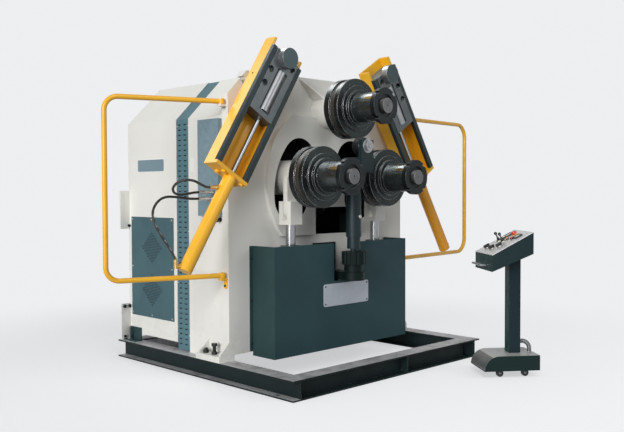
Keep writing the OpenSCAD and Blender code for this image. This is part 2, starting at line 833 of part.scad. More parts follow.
module lock_nut(x, z) difference() {
    cyl_y(x, z, nut_d, y_nut, y_sleeve);
    cyl_y(x, z, nose_d + 2 * slip_fit, y_nut - 1, y_sleeve + 1);
    cyl_y(x, z, 200, y_nut - 1, y_nut + 18);
    for (a = [45 : 90 : 315])
        translate([x, y_nut - 1, z]) rotate([0, a, 0]) box([nut_d / 2 - 18, 0, -16], [nut_d, nut_t + 2, 16]);
}

module upper_shaft() color(steel) roll_shaft(0, top_z);

module upper_roll() color(gun) roll(0, top_z);

module upper_nut() color(gun) lock_nut(0, top_z);

module left_shaft() color(steel) roll_shaft(-roll_x, roll_z);

module left_roll() color(gun) roll(-roll_x, roll_z);

module left_nut() color(gun) lock_nut(-roll_x, roll_z);

module right_shaft() color(steel) roll_shaft(roll_x, roll_z);

module right_roll() color(gun) roll(roll_x, roll_z);

module right_nut() color(gun) lock_nut(roll_x, roll_z);

// Centre guide
module center_bracket() color(dark) difference() {
    union() {
        box([-bracket_w, post_yc, bracket_z0], [bracket_w, yp, bracket_z1]);
        translate([0, post_yc, bracket_z0]) cylinder(d = bracket_d, h = bracket_z1 - bracket_z0);
        box([-bracket_w, yp - 120, notch_z - 120], [bracket_w, yp, bracket_z0]);
        box([-notch_w + 2, yp - bracket_t, bracket_z0], [notch_w - 2, yp, apron_z - 12]);
    }
    translate([0, post_yc, notch_z]) cylinder(d = stem_d + 2 * run_fit, h = 80);
}

module center_collar() color(steel) difference() {
    union() {
        translate([0, post_yc, bracket_z1 + side_gap]) cylinder(d = 165, h = 68);
        translate([0, post_yc, notch_z + 146 + side_gap]) cylinder(d = collar_d, h = 114);
    }
    translate([0, post_yc, notch_z]) cylinder(d = stem_d + 2 * run_fit, h = 300);
    for (a = [0 : 30 : 330])
        rotate_about(a) translate([collar_d / 2 + 6, 0, notch_z + 140]) cylinder(d = 30, h = 130);
}

module rotate_about(a) {
    translate([0, post_yc, 0]) rotate([0, 0, a]) children();
}

module center_post() color(dark) {
    z0 = notch_z + 260 + 2 * side_gap + 24;
    stem_z = notch_z + 13;
    translate([0, post_yc, stem_z]) cylinder(d = stem_d, h = z0 - stem_z);
    translate([0, post_yc, z0]) cylinder(d = post_d - 18, h = neck_z - z0);
    translate([0, post_yc, neck_z]) cylinder(d = post_d, h = head_z - neck_z);
    box([-head_w, head_front, head_z], [head_w, post_yc + 62, cg_z - cg_d / 2 - 24]);
    box([-face_w, head_front, cg_z - cg_d / 2 - 25], [face_w, head_front + 40, cg_z + 55]);
    cyl_y(0, cg_z, cg_axle_d, post_yc - 130, post_yc - 56);
    translate([0, head_front - 26, cg_z]) rotate([-90, 0, 0]) cylinder(d = head_nut, h = 26, $fn = 6);
}

module center_roll() color(gun) difference() {
    cyl_y(0, cg_z, cg_d, post_yc - 128 + side_gap, post_yc - 56);
    cyl_y(0, cg_z, cg_axle_d + 2 * run_fit, post_yc - 130, post_yc - 50);
}

// Side guide carriage with its piston rod
module carriage() difference() {
    union() {
        box([-guide_w / 2 + guide_t + slide_gap, gy0 + rail_t + slide_gap, car_z],
            [guide_w / 2 - guide_t - slide_gap, gy1 - 20 - slide_gap, guide_l]);
        box([-guide_w / 2 + rail_w + slide_gap, gy0 - 3, car_z],
            [guide_w / 2 - rail_w - slide_gap, gy0 + rail_t + slide_gap + 1, guide_l]);
        translate([grod_x, grod_y, -330]) cylinder(d = guide_rod_d, h = car_z + 331);
        translate([grod_x, grod_y, -330]) cylinder(d = tube_bore - 2 * run_fit, h = 40);
        cyl_y(-20, guide_l - 34, 50, gy0 - pin_roll_l + 6, gy0 + 10);
    }
    box([face_x - face_d / 2 - 8, gy0 - 4, face_z - 8],
        [face_x + face_d / 2 + 8, face_y + face_d / 2 + 8, face_z + face_l + 8]);
    translate([face_x, face_y, face_z - 22]) cylinder(d = 30 + 2 * run_fit, h = face_l + 44);
    for (p = [[-102, 938], [-100, 800], [90, 1073]])
        cyl_y(p[0], p[1], car_hole_d, gy0 - 4, gy0 + 30);
}

module pin_roll() difference() {
    cyl_y(-20, guide_l - 34, pin_roll_d, gy0 - 3 - side_gap - pin_roll_l, gy0 - 3 - side_gap);
    cyl_y(-20, guide_l - 34, 50 + 2 * run_fit, gy0 - pin_roll_l + 5, gy0);
}

module face_roll() translate([face_x, face_y, 0]) {
    translate([0, 0, face_z]) cylinder(d = face_d, h = face_l);
    translate([0, 0, face_z - 20]) cylinder(d = 30, h = face_l + 40);
}

module left_carriage() color(gun) at_guide() carriage();

module left_pin_roll() color(chrome) at_guide() pin_roll();

module left_face_roll() color(chrome) at_guide() face_roll();

module right_carriage() color(gun) mirror([1, 0, 0]) at_guide() carriage();

module right_pin_roll() color(chrome) mirror([1, 0, 0]) at_guide() pin_roll();

module right_face_roll() color(chrome) mirror([1, 0, 0]) at_guide() face_roll();

// Guard gate in the XZ plane with its hinge on the Z axis
module gate(l, r) {
    difference() {
        union() {
            for (z = [gate_top, gate_bot])
                translate([0, 0, z - gate_d / 2]) cylinder(d = gate_d + 10, h = gate_d);
            for (z = [gate_top, gate_bot])
                cyl_x(0, z, gate_d - 0.4, 0, l - r);
            translate([l, 0, gate_bot + r]) cylinder(d = gate_d - 0.4, h = gate_top - gate_bot - 2 * r);
            translate([l - r, 0, gate_top - r]) rotate([90, 0, 0]) rotate_extrude(angle = 90)
                translate([r, 0]) circle(d = gate_d - 0.4);
            translate([l - r, 0, gate_bot + r]) rotate([90, 0, 0]) rotate([0, 0, -90])
                rotate_extrude(angle = 90) translate([r, 0]) circle(d = gate_d - 0.4);
        }
        for (z = [gate_top, gate_bot])
            translate([0, 0, z - gate_d]) cylinder(d = hinge_d + 2 * run_fit, h = 2 * gate_d);
    }
}

module left_guard() color(yellow) translate([-gate_hx, gate_hy, 0]) rotate([0, 0, 180 - gate_a_left])
    gate(gate_l_left, gate_r_left);

module right_guard() color(yellow) translate([gate_hx, gate_hy, 0]) rotate([0, 0, gate_a_right])
    gate(gate_l_right, gate_r_right);

// Oil tank, electric motor and pump inside the rear cabinet
module power_pack() color(gun) {
    y = cab_y - pack_in;
    z = tank_z + side_gap;
    box([-tank_w / 2, y - tank_d / 2, cab_z + sheet_t], [tank_w / 2, y + tank_d / 2, tank_z]);
    translate([motor_end - pump_l, y, tank_z + motor_up]) rotate([0, 90, 0]) cylinder(d = pump_d, h = pump_l);
    box([-shoe_l / 2, y - shoe_d / 2, z], [shoe_l / 2, y + shoe_d / 2, tank_z + shoe_up]);
    translate([motor_end + side_gap, y, tank_z + motor_up]) rotate([0, 90, 0]) cylinder(d = bell_d, h = bell_d);
    box([-valve_x - valve_l, y - valve_d / 2, z], [-valve_x, y + valve_d / 2, tank_z + bell_d]);
}

// Hold-down bolts of the feet and bolted brackets at the rear corners
module anchor_bolts() color(steel) both() {
    x = -base_w / 2 + bolt_in;
    translate([x, yp + bolt_tall, foot_z]) {
        cylinder(d = bolt_head, h = 20, $fn = 6);
        cylinder(d = bolt_d, h = 72);
        translate([0, 0, 70]) cylinder(d = bolt_head, h = 22, $fn = 6);
    }
    translate([x, yp + bolt_low, foot_z]) {
        cylinder(d = bolt_head, h = 26, $fn = 6);
        cylinder(d = bolt_d, h = 40);
    }
    box([-bw - clip_t, clip_y0, beam_h], [-bw, clip_y1, beam_h + clip_h]);
    box([-bw - corner_w + 20, clip_y0, beam_h], [-bw, clip_y1, beam_h + clip_t]);
    translate([-bw - corner_w / 2, (clip_y0 + clip_y1) / 2 + 35, beam_h + clip_t - 1]) {
        cylinder(d = 44, h = 20, $fn = 6);
        cylinder(d = 24, h = 110);
    }
}

// Places the console from its own frame, X from the low end to the high end
module at_console() {
    translate([con_x, con_y, 0]) rotate([0, 0, con_a]) children();
}

// Console base outline with a rounded low end, moved in by t
module base_body(t) {
    intersection() {
        box([con_u0 + t, -con_w / 2 + t, con_z], [con_l / 2 - t, con_w / 2 - t, con_top - t]);
        union() {
            box([con_u0 + con_h, -con_w / 2, con_z], [con_l / 2, con_w / 2, con_top]);
            translate([con_u0 + con_h, -con_w / 2, con_z]) rotate([-90, 0, 0])
                cylinder(r = con_h - t, h = con_w);
        }
    }
}

module console_base() color(dark) at_console() {
    difference() {
        union() {
            difference() {
                base_body(0);
                translate([0, 0, -1]) base_body(5);
            }
            for (u = [wheel_front, wheel_rear], s = [-1, 1])
                box([u - 22, s * (wheel_v - 22) - 4, wheel_d / 2 - 14],
                    [u + 22, s * (wheel_v - 22) + 4, con_top - 4]);
        }
        for (u = [wheel_front, wheel_rear])
            cyl_y(u, wheel_d / 2, axle_d + 2 * run_fit, -con_w / 2, con_w / 2);
    }
}

module wheel_pair(u) {
    cyl_y(u, wheel_d / 2, axle_d, -wheel_v, wheel_v);
    for (s = [-1, 1])
        cyl_y(u, wheel_d / 2, wheel_d, s * wheel_v - 13, s * wheel_v + 13);
}

module front_wheels() color(black) at_console() wheel_pair(wheel_front);

module rear_wheels() color(black) at_console() wheel_pair(wheel_rear);

module console_post() color(dark) at_console()
    plate_xz([[cpost_u - cpost_l / 2, con_top], [cpost_u + cpost_l / 2, con_top],
        [cpost_u + cpost_l / 2, box_z0 + (cpost_u + cpost_l / 2 - box_u0) * box_slope],
        [cpost_u - cpost_l / 2, box_z0 + (cpost_u - cpost_l / 2 - box_u0) * box_slope]],
        -cpost_w / 2, cpost_w / 2);

module console_box() color(dark) at_console() {
    difference() {
        plate_xz([[box_u0, box_z0], [box_u1, box_z0 + box_rise], [box_u1, box_z0 + box_rise + box_h1],
            [box_u0, box_z0 + box_h0]], -box_w / 2, box_w / 2);
        plate_xz([[box_u0 + 5, box_z0 + 8], [box_u1 - 5, box_z0 + box_rise + 4],
            [box_u1 - 5, box_z0 + box_rise + box_h1 + 20], [box_u0 + 5, box_z0 + box_h0 + 20]],
            -box_w / 2 + 5, box_w / 2 - 5);
    }
    translate([box_u0, 0, box_z0 + 50]) {
        for (s = [-1, 1])
            cyl_x(s * 105, 0, 18, -60, 2);
        cyl_y(-60, 0, 18, -114, 114);
    }
}

// Places a control on the sloping panel, a along the slope and b across, both from 0 to 1
module on_panel(a, b) {
    at_console() translate([box_u0 + box_l * a, box_w * (b - 0.5), box_z0 + box_h0 + panel_rise * a])
        rotate([0, -panel_a, 0]) translate([0, 0, panel_t]) children();
}

module stem_hole() {
    translate([0, 0, -20]) cylinder(d = stem_c + 2 * run_fit, h = 40);
}

estop_at = [0.83, 0.62];
joy_at = [[0.52, 0.80], [0.52, 0.58]];
sel_at = [[0.22, 0.80], [0.22, 0.52], [0.34, 0.38]];

module console_panel() color(chrome) {
    difference() {
        at_console() translate([box_u0, 0, box_z0 + box_h0]) rotate([0, -panel_a, 0])
            box([0, -box_w / 2, 0], [panel_l, box_w / 2, panel_t]);
        on_panel(estop_at[0], estop_at[1]) stem_hole();
        for (p = joy_at)
            on_panel(p[0], p[1]) translate([0, 0, -20]) cylinder(d = joy_d + 2 * run_fit, h = 40);
        for (p = sel_at)
            on_panel(p[0], p[1]) stem_hole();
    }
    for (b = [0.80, 0.32])
        on_panel(0.76, b) difference() {
            box([-34, -42, 0], [34, 42, 10]);
            box([-26, -34, 6], [26, 34, 11]);
        }
    for (p = [[0.63, 0.74], [0.61, 0.52], [0.64, 0.36]])
        on_panel(p[0], p[1]) cylinder(d = 26, h = 12);
}

module console_conduit() color(steel) at_console()
    translate([cpost_u + cpost_l / 2, 0, con_top + conduit_up]) {
        cyl_x(0, 0, conduit_d, 0, conduit_out);
        translate([conduit_out, 0, -conduit_r]) rotate([90, 0, 0]) rotate_extrude(angle = 90)
            translate([conduit_r, 0]) circle(d = conduit_d);
        translate([conduit_out + conduit_r, 0, -conduit_up])
            cylinder(d = conduit_d, h = conduit_up - conduit_r);
    }

module emergency_stop() color([0.75, 0.06, 0.05]) on_panel(estop_at[0], estop_at[1]) {
    translate([0, 0, -18]) cylinder(d = stem_c, h = 28);
    translate([0, 0, 8]) cylinder(d = 44, h = 18);
}

module joystick(p) on_panel(p[0], p[1]) {
    translate([0, 0, -panel_t / 2]) sphere(d = joy_d);
    translate([0, 0, -panel_t / 2]) cylinder(d = 12, h = 68);
    translate([0, 0, 70]) sphere(d = 28);
}

module left_joystick() color(black) joystick(joy_at[0]);

module right_joystick() color(black) joystick(joy_at[1]);

module selector(p) on_panel(p[0], p[1]) {
    translate([0, 0, -18]) cylinder(d = stem_c, h = 20);
    translate([0, 0, side_gap]) cylinder(d = 36, h = 8);
    box([-26, -8, 4], [26, 8, 26]);
}

module selector_a() color(black) selector(sel_at[0]);

module selector_b() color(black) selector(sel_at[1]);

module selector_c() color(black) selector(sel_at[2]);

base_frame();
front_plate();
side_plates();
back_plate();
cabinet_shell();
vent_band();
access_panel();
side_cover();
apron();
guide_frames();
guide_rails();
guide_cylinders();
hose_upper();
hose_lower();
hose_fittings();
bend_cylinders();
center_bracket();
pivot_pin();
power_pack();
anchor_bolts();
upper_drive();
left_guard();
right_guard();
left_arm();
left_drive();
right_arm();
right_drive();
upper_shaft();
upper_roll();
upper_nut();
left_shaft();
left_roll();
left_nut();
right_shaft();
right_roll();
right_nut();
left_rod();
right_rod();
center_post();
center_collar();
center_roll();
left_carriage();
left_pin_roll();
left_face_roll();
right_carriage();
right_pin_roll();
right_face_roll();
console_base();
console_post();
console_box();
console_panel();
console_conduit();
emergency_stop();
left_joystick();
right_joystick();
selector_a();
selector_b();
selector_c();
front_wheels();
rear_wheels();
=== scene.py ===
# Looks of the angle roll bender: camera, hoses, studio, materials and small fittings.
# Metres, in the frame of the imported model: X to the right, Y to the back, Z up.
import json
import math

import bmesh
import bpy
from mathutils import Matrix, Vector


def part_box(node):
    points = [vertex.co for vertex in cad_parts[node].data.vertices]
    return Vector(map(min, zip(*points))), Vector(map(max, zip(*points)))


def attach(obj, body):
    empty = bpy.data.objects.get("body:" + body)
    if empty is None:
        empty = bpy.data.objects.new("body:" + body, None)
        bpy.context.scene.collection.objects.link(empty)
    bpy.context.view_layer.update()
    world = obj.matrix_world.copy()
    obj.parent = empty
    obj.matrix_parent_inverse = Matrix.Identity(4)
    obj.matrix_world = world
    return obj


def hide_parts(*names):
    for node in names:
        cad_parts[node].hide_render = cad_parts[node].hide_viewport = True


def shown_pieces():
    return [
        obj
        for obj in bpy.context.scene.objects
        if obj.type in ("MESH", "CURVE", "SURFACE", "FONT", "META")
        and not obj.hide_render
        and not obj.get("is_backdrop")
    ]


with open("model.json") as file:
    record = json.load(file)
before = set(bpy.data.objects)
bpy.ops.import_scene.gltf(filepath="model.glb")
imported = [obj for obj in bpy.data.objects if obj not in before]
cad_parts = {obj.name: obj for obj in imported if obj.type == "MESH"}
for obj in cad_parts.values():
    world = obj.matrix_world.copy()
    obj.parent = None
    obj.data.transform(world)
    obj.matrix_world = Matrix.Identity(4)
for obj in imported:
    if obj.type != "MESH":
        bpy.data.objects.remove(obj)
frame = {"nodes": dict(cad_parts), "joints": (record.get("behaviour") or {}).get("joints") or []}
CAD = frame["nodes"]
JOINTS = {j["name"]: j for j in frame["joints"]}
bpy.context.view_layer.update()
scene = bpy.context.scene
scene.view_settings.view_transform = "Standard"

X, Y, Z = Vector((1, 0, 0)), Vector((0, 1, 0)), Vector((0, 0, 1))


# Camera at the photograph's angle
CAMERA_AT = Vector((-5.276, -5.539, 1.576))
CAMERA_YAW = math.radians(44.594)
CAMERA_PITCH = math.radians(1.843)
CAMERA_ROLL = math.radians(0.197)
FOCAL_PX = 807.7
PHOTO_W_PX = 624
SENSOR_MM = 36.0


def make_camera():
    flat = math.cos(CAMERA_PITCH)
    ahead = Vector((math.sin(CAMERA_YAW) * flat, math.cos(CAMERA_YAW) * flat, -math.sin(CAMERA_PITCH)))
    level = Vector((math.cos(CAMERA_YAW), -math.sin(CAMERA_YAW), 0))
    steep = ahead.cross(level)
    right = math.cos(CAMERA_ROLL) * level + math.sin(CAMERA_ROLL) * steep
    down = math.cos(CAMERA_ROLL) * steep - math.sin(CAMERA_ROLL) * level
    data = bpy.data.cameras.new("camera")
    data.sensor_width = SENSOR_MM
    data.lens = FOCAL_PX / PHOTO_W_PX * SENSOR_MM
    data.clip_end = 200
    camera = bpy.data.objects.new("camera", data)
    turn = Matrix((right, -down, -ahead)).transposed().to_4x4()
    camera.matrix_world = Matrix.Translation(CAMERA_AT) @ turn
    scene.collection.objects.link(camera)
    scene.camera = camera


make_camera()


# Short calls for materials
def rgba(color):
    return (color[0], color[1], color[2], 1.0)


def shade(color, k):
    return tuple(min(c * k, 1.0) for c in color)


class Graph:
    """One material and short calls that add nodes to it."""

    def __init__(self, name):
        self.material = bpy.data.materials.new(name)
        self.material.use_nodes = True
        self.tree = self.material.node_tree
        self.tree.nodes.clear()
        self.place = self.add("TexCoord").outputs["Object"]

    def add(self, kind, inputs=None, **settings):
        node = self.tree.nodes.new("ShaderNode" + kind)
        for key, value in settings.items():
            setattr(node, key, value)
        for key, value in (inputs or {}).items():
            self.put(node.inputs[key], value)
        return node

    def put(self, socket, value):
        if isinstance(value, bpy.types.NodeSocket):
            self.tree.links.new(value, socket)
        else:
            socket.default_value = value

    def math(self, operation, a, b=0.0):
        return self.add("Math", {0: a, 1: b}, operation=operation).outputs[0]

    def range(self, value, low, high, to_low=0.0, to_high=1.0):
        inputs = {"Value": value, "From Min": low, "From Max": high, "To Min": to_low, "To Max": to_high}
        return self.add("MapRange", inputs, interpolation_type="SMOOTHSTEP").outputs["Result"]

    def noise(self, scale, detail=3.0, vector=None, rough=0.5):
        vector = self.place if vector is None else vector
        inputs = {"Vector": vector, "Scale": scale, "Detail": detail, "Roughness": rough}
        return self.add("TexNoise", inputs).outputs["Fac"]

    def mix(self, factor, a, b):
        return self.add("Mix", {0: factor, 6: a, 7: b}, data_type="RGBA").outputs[2]

    def stretched(self, scales):
        return self.add("Mapping", {"Vector": self.place, "Scale": scales}).outputs["Vector"]

    def axis(self, name, vector=None):
        vector = self.place if vector is None else vector
        return self.add("SeparateXYZ", {0: vector}).outputs[name]

    def rounded(self, radius):
        """Normal with soft edges, and a mask that is 1 on the edges."""
        soft = self.add("Bevel", {"Radius": radius}, samples=6).outputs[0]
        hard = self.add("NewGeometry").outputs["Normal"]
        dot = self.add("VectorMath", {0: soft, 1: hard}, operation="DOT_PRODUCT").outputs["Value"]
        return soft, self.range(dot, 0.99, 0.80)

    def finish(self, color, rough, normal, **sockets):
        inputs = {"Base Color": color, "Roughness": rough, "Normal": normal}
        shader = self.add("BsdfPrincipled", inputs)
        for name, value in sockets.items():
            shader.inputs[name.replace("_", " ")].default_value = value
        out = self.add("OutputMaterial")
        self.tree.links.new(shader.outputs[0], out.inputs["Surface"])
        return self.material


def painted(name, color, rough=0.4, mottle=0.05, peel=0.1, peel_scale=260.0, edge=None, wear=0.0,
            low_darkening=0.0, specular=0.4, coat=0.0):
    """Paint with soft clouds of colour, a fine peel bump, worn edges and patchy darkening towards the
    bottom.
    """
    g = Graph(name)
    soft, edges = g.rounded(0.003)
    cloud = g.range(g.noise(1.7, 5.0), 0.35, 0.65)
    tone = g.mix(cloud, rgba(shade(color, 1 - mottle)), rgba(shade(color, 1 + mottle)))
    # Darker, patchy towards the bottom
    if low_darkening:
        low = g.range(g.axis("Z"), 0.16, 0.75, 1.0, 0.0)
        low_patches = g.math("MULTIPLY", low, g.range(g.noise(6.0, 6.0, rough=0.65), 0.42, 0.72, 0.25, 1.0))
        tone = g.mix(g.math("MULTIPLY", low_patches, low_darkening), tone, rgba(shade(color, 0.55)))
    if edge:
        chips = g.math("MULTIPLY", edges, g.range(g.noise(55.0, 4.0), 0.45, 0.6))
        tone = g.mix(g.math("MULTIPLY", chips, wear), tone, rgba(edge))
    gloss = g.range(g.noise(9.0, 4.0), 0.3, 0.7, rough - 0.06, rough + 0.06)
    bump = g.add("Bump", {"Height": g.noise(peel_scale, 2.0), "Normal": soft, "Strength": peel,
                          "Distance": 0.0006})
    return g.finish(tone, gloss, bump.outputs[0], Specular_IOR_Level=specular, Coat_Weight=coat,
                    Coat_Roughness=0.12)


def dark_paint(name, color, rough, edge, specular):
    """Dark paint of the apron and the console, worn at its edges."""
    return painted(name, color, rough, 0.08, 0.14, 320.0, edge, 0.7, specular=specular)


def hammered(name, color, rough=0.42, cell=90.0):
    """Hammer paint: shallow cells with a mottled tone."""
    g = Graph(name)
    soft, edges = g.rounded(0.003)
    cells = g.add("TexVoronoi", {"Vector": g.place, "Scale": cell}, feature="SMOOTH_F1").outputs["Distance"]
    blot = g.range(g.noise(26.0, 5.0, rough=0.7), 0.3, 0.7)
    fade = g.range(g.noise(1.4, 3.0), 0.3, 0.7)
    tone = g.mix(blot, rgba(shade(color, 0.84)), rgba(shade(color, 1.14)))
    tone = g.mix(g.math("MULTIPLY", fade, 0.35), tone, rgba(shade(color, 0.7)))
    tone = g.mix(g.math("MULTIPLY", edges, 0.4), tone, rgba(shade(color, 1.5)))
    gloss = g.range(blot, 0.0, 1.0, rough - 0.07, rough + 0.07)
    bump = g.add("Bump", {"Height": cells, "Normal": soft, "Strength": 0.22, "Distance": 0.0012})
    return g.finish(tone, gloss, bump.outputs[0], Specular_IOR_Level=0.4)


def turned(name, color, rough=0.34, axis_x=0.0, axis_z=0.0, edge=(0.62, 0.63, 0.64), stain=None,
           fine=420.0):
    """Turned steel: fine rings about an axis along Y, oil stains and bright edges, the edges a painted
    highlight.
    """
    g = Graph(name)
    soft, edges = g.rounded(0.004)
    dx = g.math("SUBTRACT", g.axis("X"), axis_x)
    dz = g.math("SUBTRACT", g.axis("Z"), axis_z)
    radius = g.math("SQRT", g.math("ADD", g.math("MULTIPLY", dx, dx), g.math("MULTIPLY", dz, dz)))
    ring_place = g.add("CombineXYZ", {"X": radius, "Y": g.axis("Y"), "Z": 0.0}).outputs[0]
    rings = g.noise(fine, 3.0, ring_place)
    blot = g.range(g.noise(11.0, 6.0, rough=0.65), 0.35, 0.7)
    tone = g.mix(rings, rgba(shade(color, 0.78)), rgba(shade(color, 1.22)))
    tone = g.mix(g.math("MULTIPLY", blot, 0.55), tone, rgba(stain or shade(color, 0.5)))
    # Bright rims along the edges: painted highlight
    rim = g.math("MULTIPLY", edges, g.range(g.noise(14.0, 3.0), 0.3, 0.65, 0.7, 1.0))
    tone = g.mix(rim, tone, rgba(edge))
    gloss = g.range(g.math("ADD", rings, blot), 0.3, 1.6, rough - 0.08, rough + 0.14)
    bump = g.add("Bump", {"Height": rings, "Normal": soft, "Strength": 0.16, "Distance": 0.0004})
    return g.finish(tone, gloss, bump.outputs[0], Metallic=0.85, Specular_IOR_Level=0.4)


def milled(name, color, rough=0.36, grain=(30.0, 30.0, 4.0), edge=(0.45, 0.46, 0.47), metallic=0.9,
           oil=0.4):
    """Machined or drawn metal with grain along one direction, oil stains and bright edges."""
    g = Graph(name)
    soft, edges = g.rounded(0.003)
    lines = g.noise(14.0, 4.0, g.stretched(grain))
    blot = g.range(g.noise(8.0, 6.0, rough=0.65), 0.4, 0.72)
    tone = g.mix(lines, rgba(shade(color, 0.85)), rgba(shade(color, 1.15)))
    tone = g.mix(g.math("MULTIPLY", blot, oil), tone, rgba(shade(color, 0.45)))
    tone = g.mix(g.math("MULTIPLY", edges, 0.7), tone, rgba(edge))
    gloss = g.range(lines, 0.25, 0.75, rough - 0.06, rough + 0.1)
    bump = g.add("Bump", {"Height": lines, "Normal": soft, "Strength": 0.08, "Distance": 0.0004})
    return g.finish(tone, gloss, bump.outputs[0], Metallic=metallic, Specular_IOR_Level=0.4)


def moulded(name, color, rough=0.35, grain=0.1, scale=420.0, **sockets):
    """Plastic or rubber with a fine moulded grain and slightly dusty hollows."""
    g = Graph(name)
    soft, edges = g.rounded(0.0015)
    dust = g.range(g.noise(45.0, 5.0), 0.5, 0.75)
    tone = g.mix(g.math("MULTIPLY", dust, 0.25), rgba(color), rgba(shade(color, 1.5)))
    tone = g.mix(g.math("MULTIPLY", edges, 0.3), tone, rgba(shade(color, 1.7)))
    gloss = g.range(dust, 0.0, 1.0, rough, rough + 0.12)
    bump = g.add("Bump", {"Height": g.noise(scale, 2.0), "Normal": soft, "Strength": grain,
                          "Distance": 0.0003})
    return g.finish(tone, gloss, bump.outputs[0], **sockets)


def hose_rubber(name, marks, marks_from=0.0):
    """Black hose: wrapped cover and a worn, pale lay line, from the tube's own UV in metres."""
    g = Graph(name)
    uv = g.add("TexCoord").outputs["UV"]
    along, around = g.axis("X", uv), g.axis("Y", uv)
    dash = g.range(g.math("PINGPONG", along, 0.035), 0.016, 0.019)
    line = g.range(g.math("ABSOLUTE", g.math("SUBTRACT", around, 0.42)), 0.07, 0.05)
    worn = g.range(g.noise(70.0, 4.0), 0.35, 0.65, 0.1, 1.0)
    mark = g.math("MULTIPLY", g.math("MULTIPLY", dash, line), worn)
    mark = g.math("MULTIPLY", mark, g.range(along, marks_from - 0.1, marks_from + 0.02, 0.0, marks))
    tone = g.mix(mark, rgba((0.012, 0.013, 0.014)), rgba((0.55, 0.53, 0.49)))
    wrap = g.add("TexWave", {"Vector": uv, "Scale": 90.0, "Distortion": 1.5}).outputs["Fac"]
    bump = g.add("Bump", {"Height": wrap, "Strength": 0.25, "Distance": 0.0005})
    gloss = g.range(worn, 0.0, 1.0, 0.38, 0.52)
    return g.finish(tone, gloss, bump.outputs[0], Specular_IOR_Level=0.5)


# Finishes as the photograph shows them
CREAM = (0.80, 0.80, 0.765)
CHARCOAL = (0.030, 0.068, 0.078)
# Darker copy of the charcoal for the apron's left face: painted shade
CHARCOAL_SHADED = (0.026, 0.055, 0.058)
CONSOLE_DARK = (0.010, 0.023, 0.030)
# Lighter, greener copy of the console paint for faces toward the left lamp: painted light
CONSOLE_LIT_GREEN = (0.017, 0.048, 0.044)
CONSOLE_SIDE = (0.010, 0.024, 0.023)
CONSOLE_SLATE = (0.017, 0.032, 0.037)
YELLOW = (0.94, 0.49, 0.017)
# Darker, deeper copy of the yellow for the right guide cylinder: painted shade
YELLOW_SHADED = (0.80, 0.34, 0.010)
STEEL_EDGE = (0.42, 0.43, 0.44)
CHARCOAL_EDGE = (0.11, 0.15, 0.16)
CONSOLE_EDGE = (0.09, 0.13, 0.13)

cream = painted("cream_paint", CREAM, 0.42, 0.02, 0.12, 300.0, low_darkening=0.35, specular=0.3)
cream_arm = painted("cream_arm_paint", shade(CREAM, 0.9), 0.45, 0.03, 0.15, 240.0, (0.35, 0.34, 0.3), 0.5)
charcoal = dark_paint("charcoal_paint", CHARCOAL, 0.5, CHARCOAL_EDGE, 0.15)
# Shaded copy of the charcoal paint: painted shade
charcoal_shaded = dark_paint("charcoal_shaded_paint", CHARCOAL_SHADED, 0.5, CHARCOAL_EDGE, 0.15)
console_paint = dark_paint("console_paint", CONSOLE_DARK, 0.42, CONSOLE_EDGE, 0.15)
# Lit copy of the console paint: painted light
console_lit_green = dark_paint("console_lit_green_paint", CONSOLE_LIT_GREEN, 0.42, CONSOLE_EDGE, 0.12)
console_side = dark_paint("console_side_paint", CONSOLE_SIDE, 0.42, CONSOLE_EDGE, 0.12)
console_slate = dark_paint("console_slate_paint", CONSOLE_SLATE, 0.42, CONSOLE_EDGE, 0.12)
post_paint = painted("post_paint", (0.008, 0.020, 0.024), 0.4, 0.1, 0.14, 320.0, (0.08, 0.10, 0.11), 0.7,
                     specular=0.25)
# Near black for the faces inside the openings, where shade falls: painted shade
inner_shade = painted("inner_shade_paint", (0.010, 0.013, 0.013), 0.6, 0.2, 0.2, 160.0, specular=0.1)
black_cast = painted("black_cast", (0.0035, 0.0085, 0.0085), 0.45, 0.15, 0.25, 140.0, (0.045, 0.06, 0.06),
                     0.5, specular=0.12)
base_paint = painted("base_paint", (0.009, 0.017, 0.018), 0.5, 0.15, 0.3, 120.0, (0.16, 0.17, 0.17), 0.9,
                     specular=0.12)
# Pale bare steel on the base frame's upper faces: partly wear, partly painted light
flange_top = milled("worn_and_lit_flange", (0.60, 0.60, 0.62), 0.45, (5.0, 5.0, 5.0), (0.7, 0.7, 0.71), 0.3, 0.8)
teal_cover = hammered("hammered_teal", (0.19, 0.285, 0.34))
teal_panel = painted("teal_panel_paint", (0.060, 0.122, 0.145), 0.5, 0.08, 0.2, 200.0, (0.2, 0.27, 0.3),
                     0.6, specular=0.2)
teal_vent = hammered("vent_teal", (0.080, 0.175, 0.212), 0.42, 140.0)
yellow = painted("yellow_paint", YELLOW, 0.34, 0.05, 0.12, 200.0, (0.98, 0.72, 0.25), 0.5, coat=0.35)
# Shaded copy of the yellow paint: painted shade
yellow_shaded = painted("yellow_shaded_paint", YELLOW_SHADED, 0.34, 0.05, 0.12, 200.0, (0.92, 0.6, 0.2), 0.5, coat=0.3)
grey_paint = painted("grey_paint", (0.10, 0.11, 0.115), 0.42, 0.06, 0.2, 180.0, (0.3, 0.31, 0.32), 0.6)
black_steel = milled("black_steel", (0.022, 0.028, 0.030), 0.42, (20.0, 20.0, 20.0),
                     (0.14, 0.16, 0.165), 0.7)
slide_steel = milled("slide_steel", (0.125, 0.14, 0.145), 0.4, (40.0, 40.0, 5.0), (0.4, 0.42, 0.43), 0.6)
rail_steel = milled("rail_steel", (0.026, 0.042, 0.046), 0.45, (30.0, 30.0, 5.0), (0.12, 0.15, 0.16), 0.4)
bright_steel = milled("bright_steel", (0.36, 0.37, 0.38), 0.32, (60.0, 60.0, 8.0),
                      (0.7, 0.7, 0.7), 0.9, 0.3)
plated = milled("plated_steel", (0.55, 0.54, 0.50), 0.3, (25.0, 25.0, 25.0), (0.75, 0.74, 0.7), 0.9, 0.2)
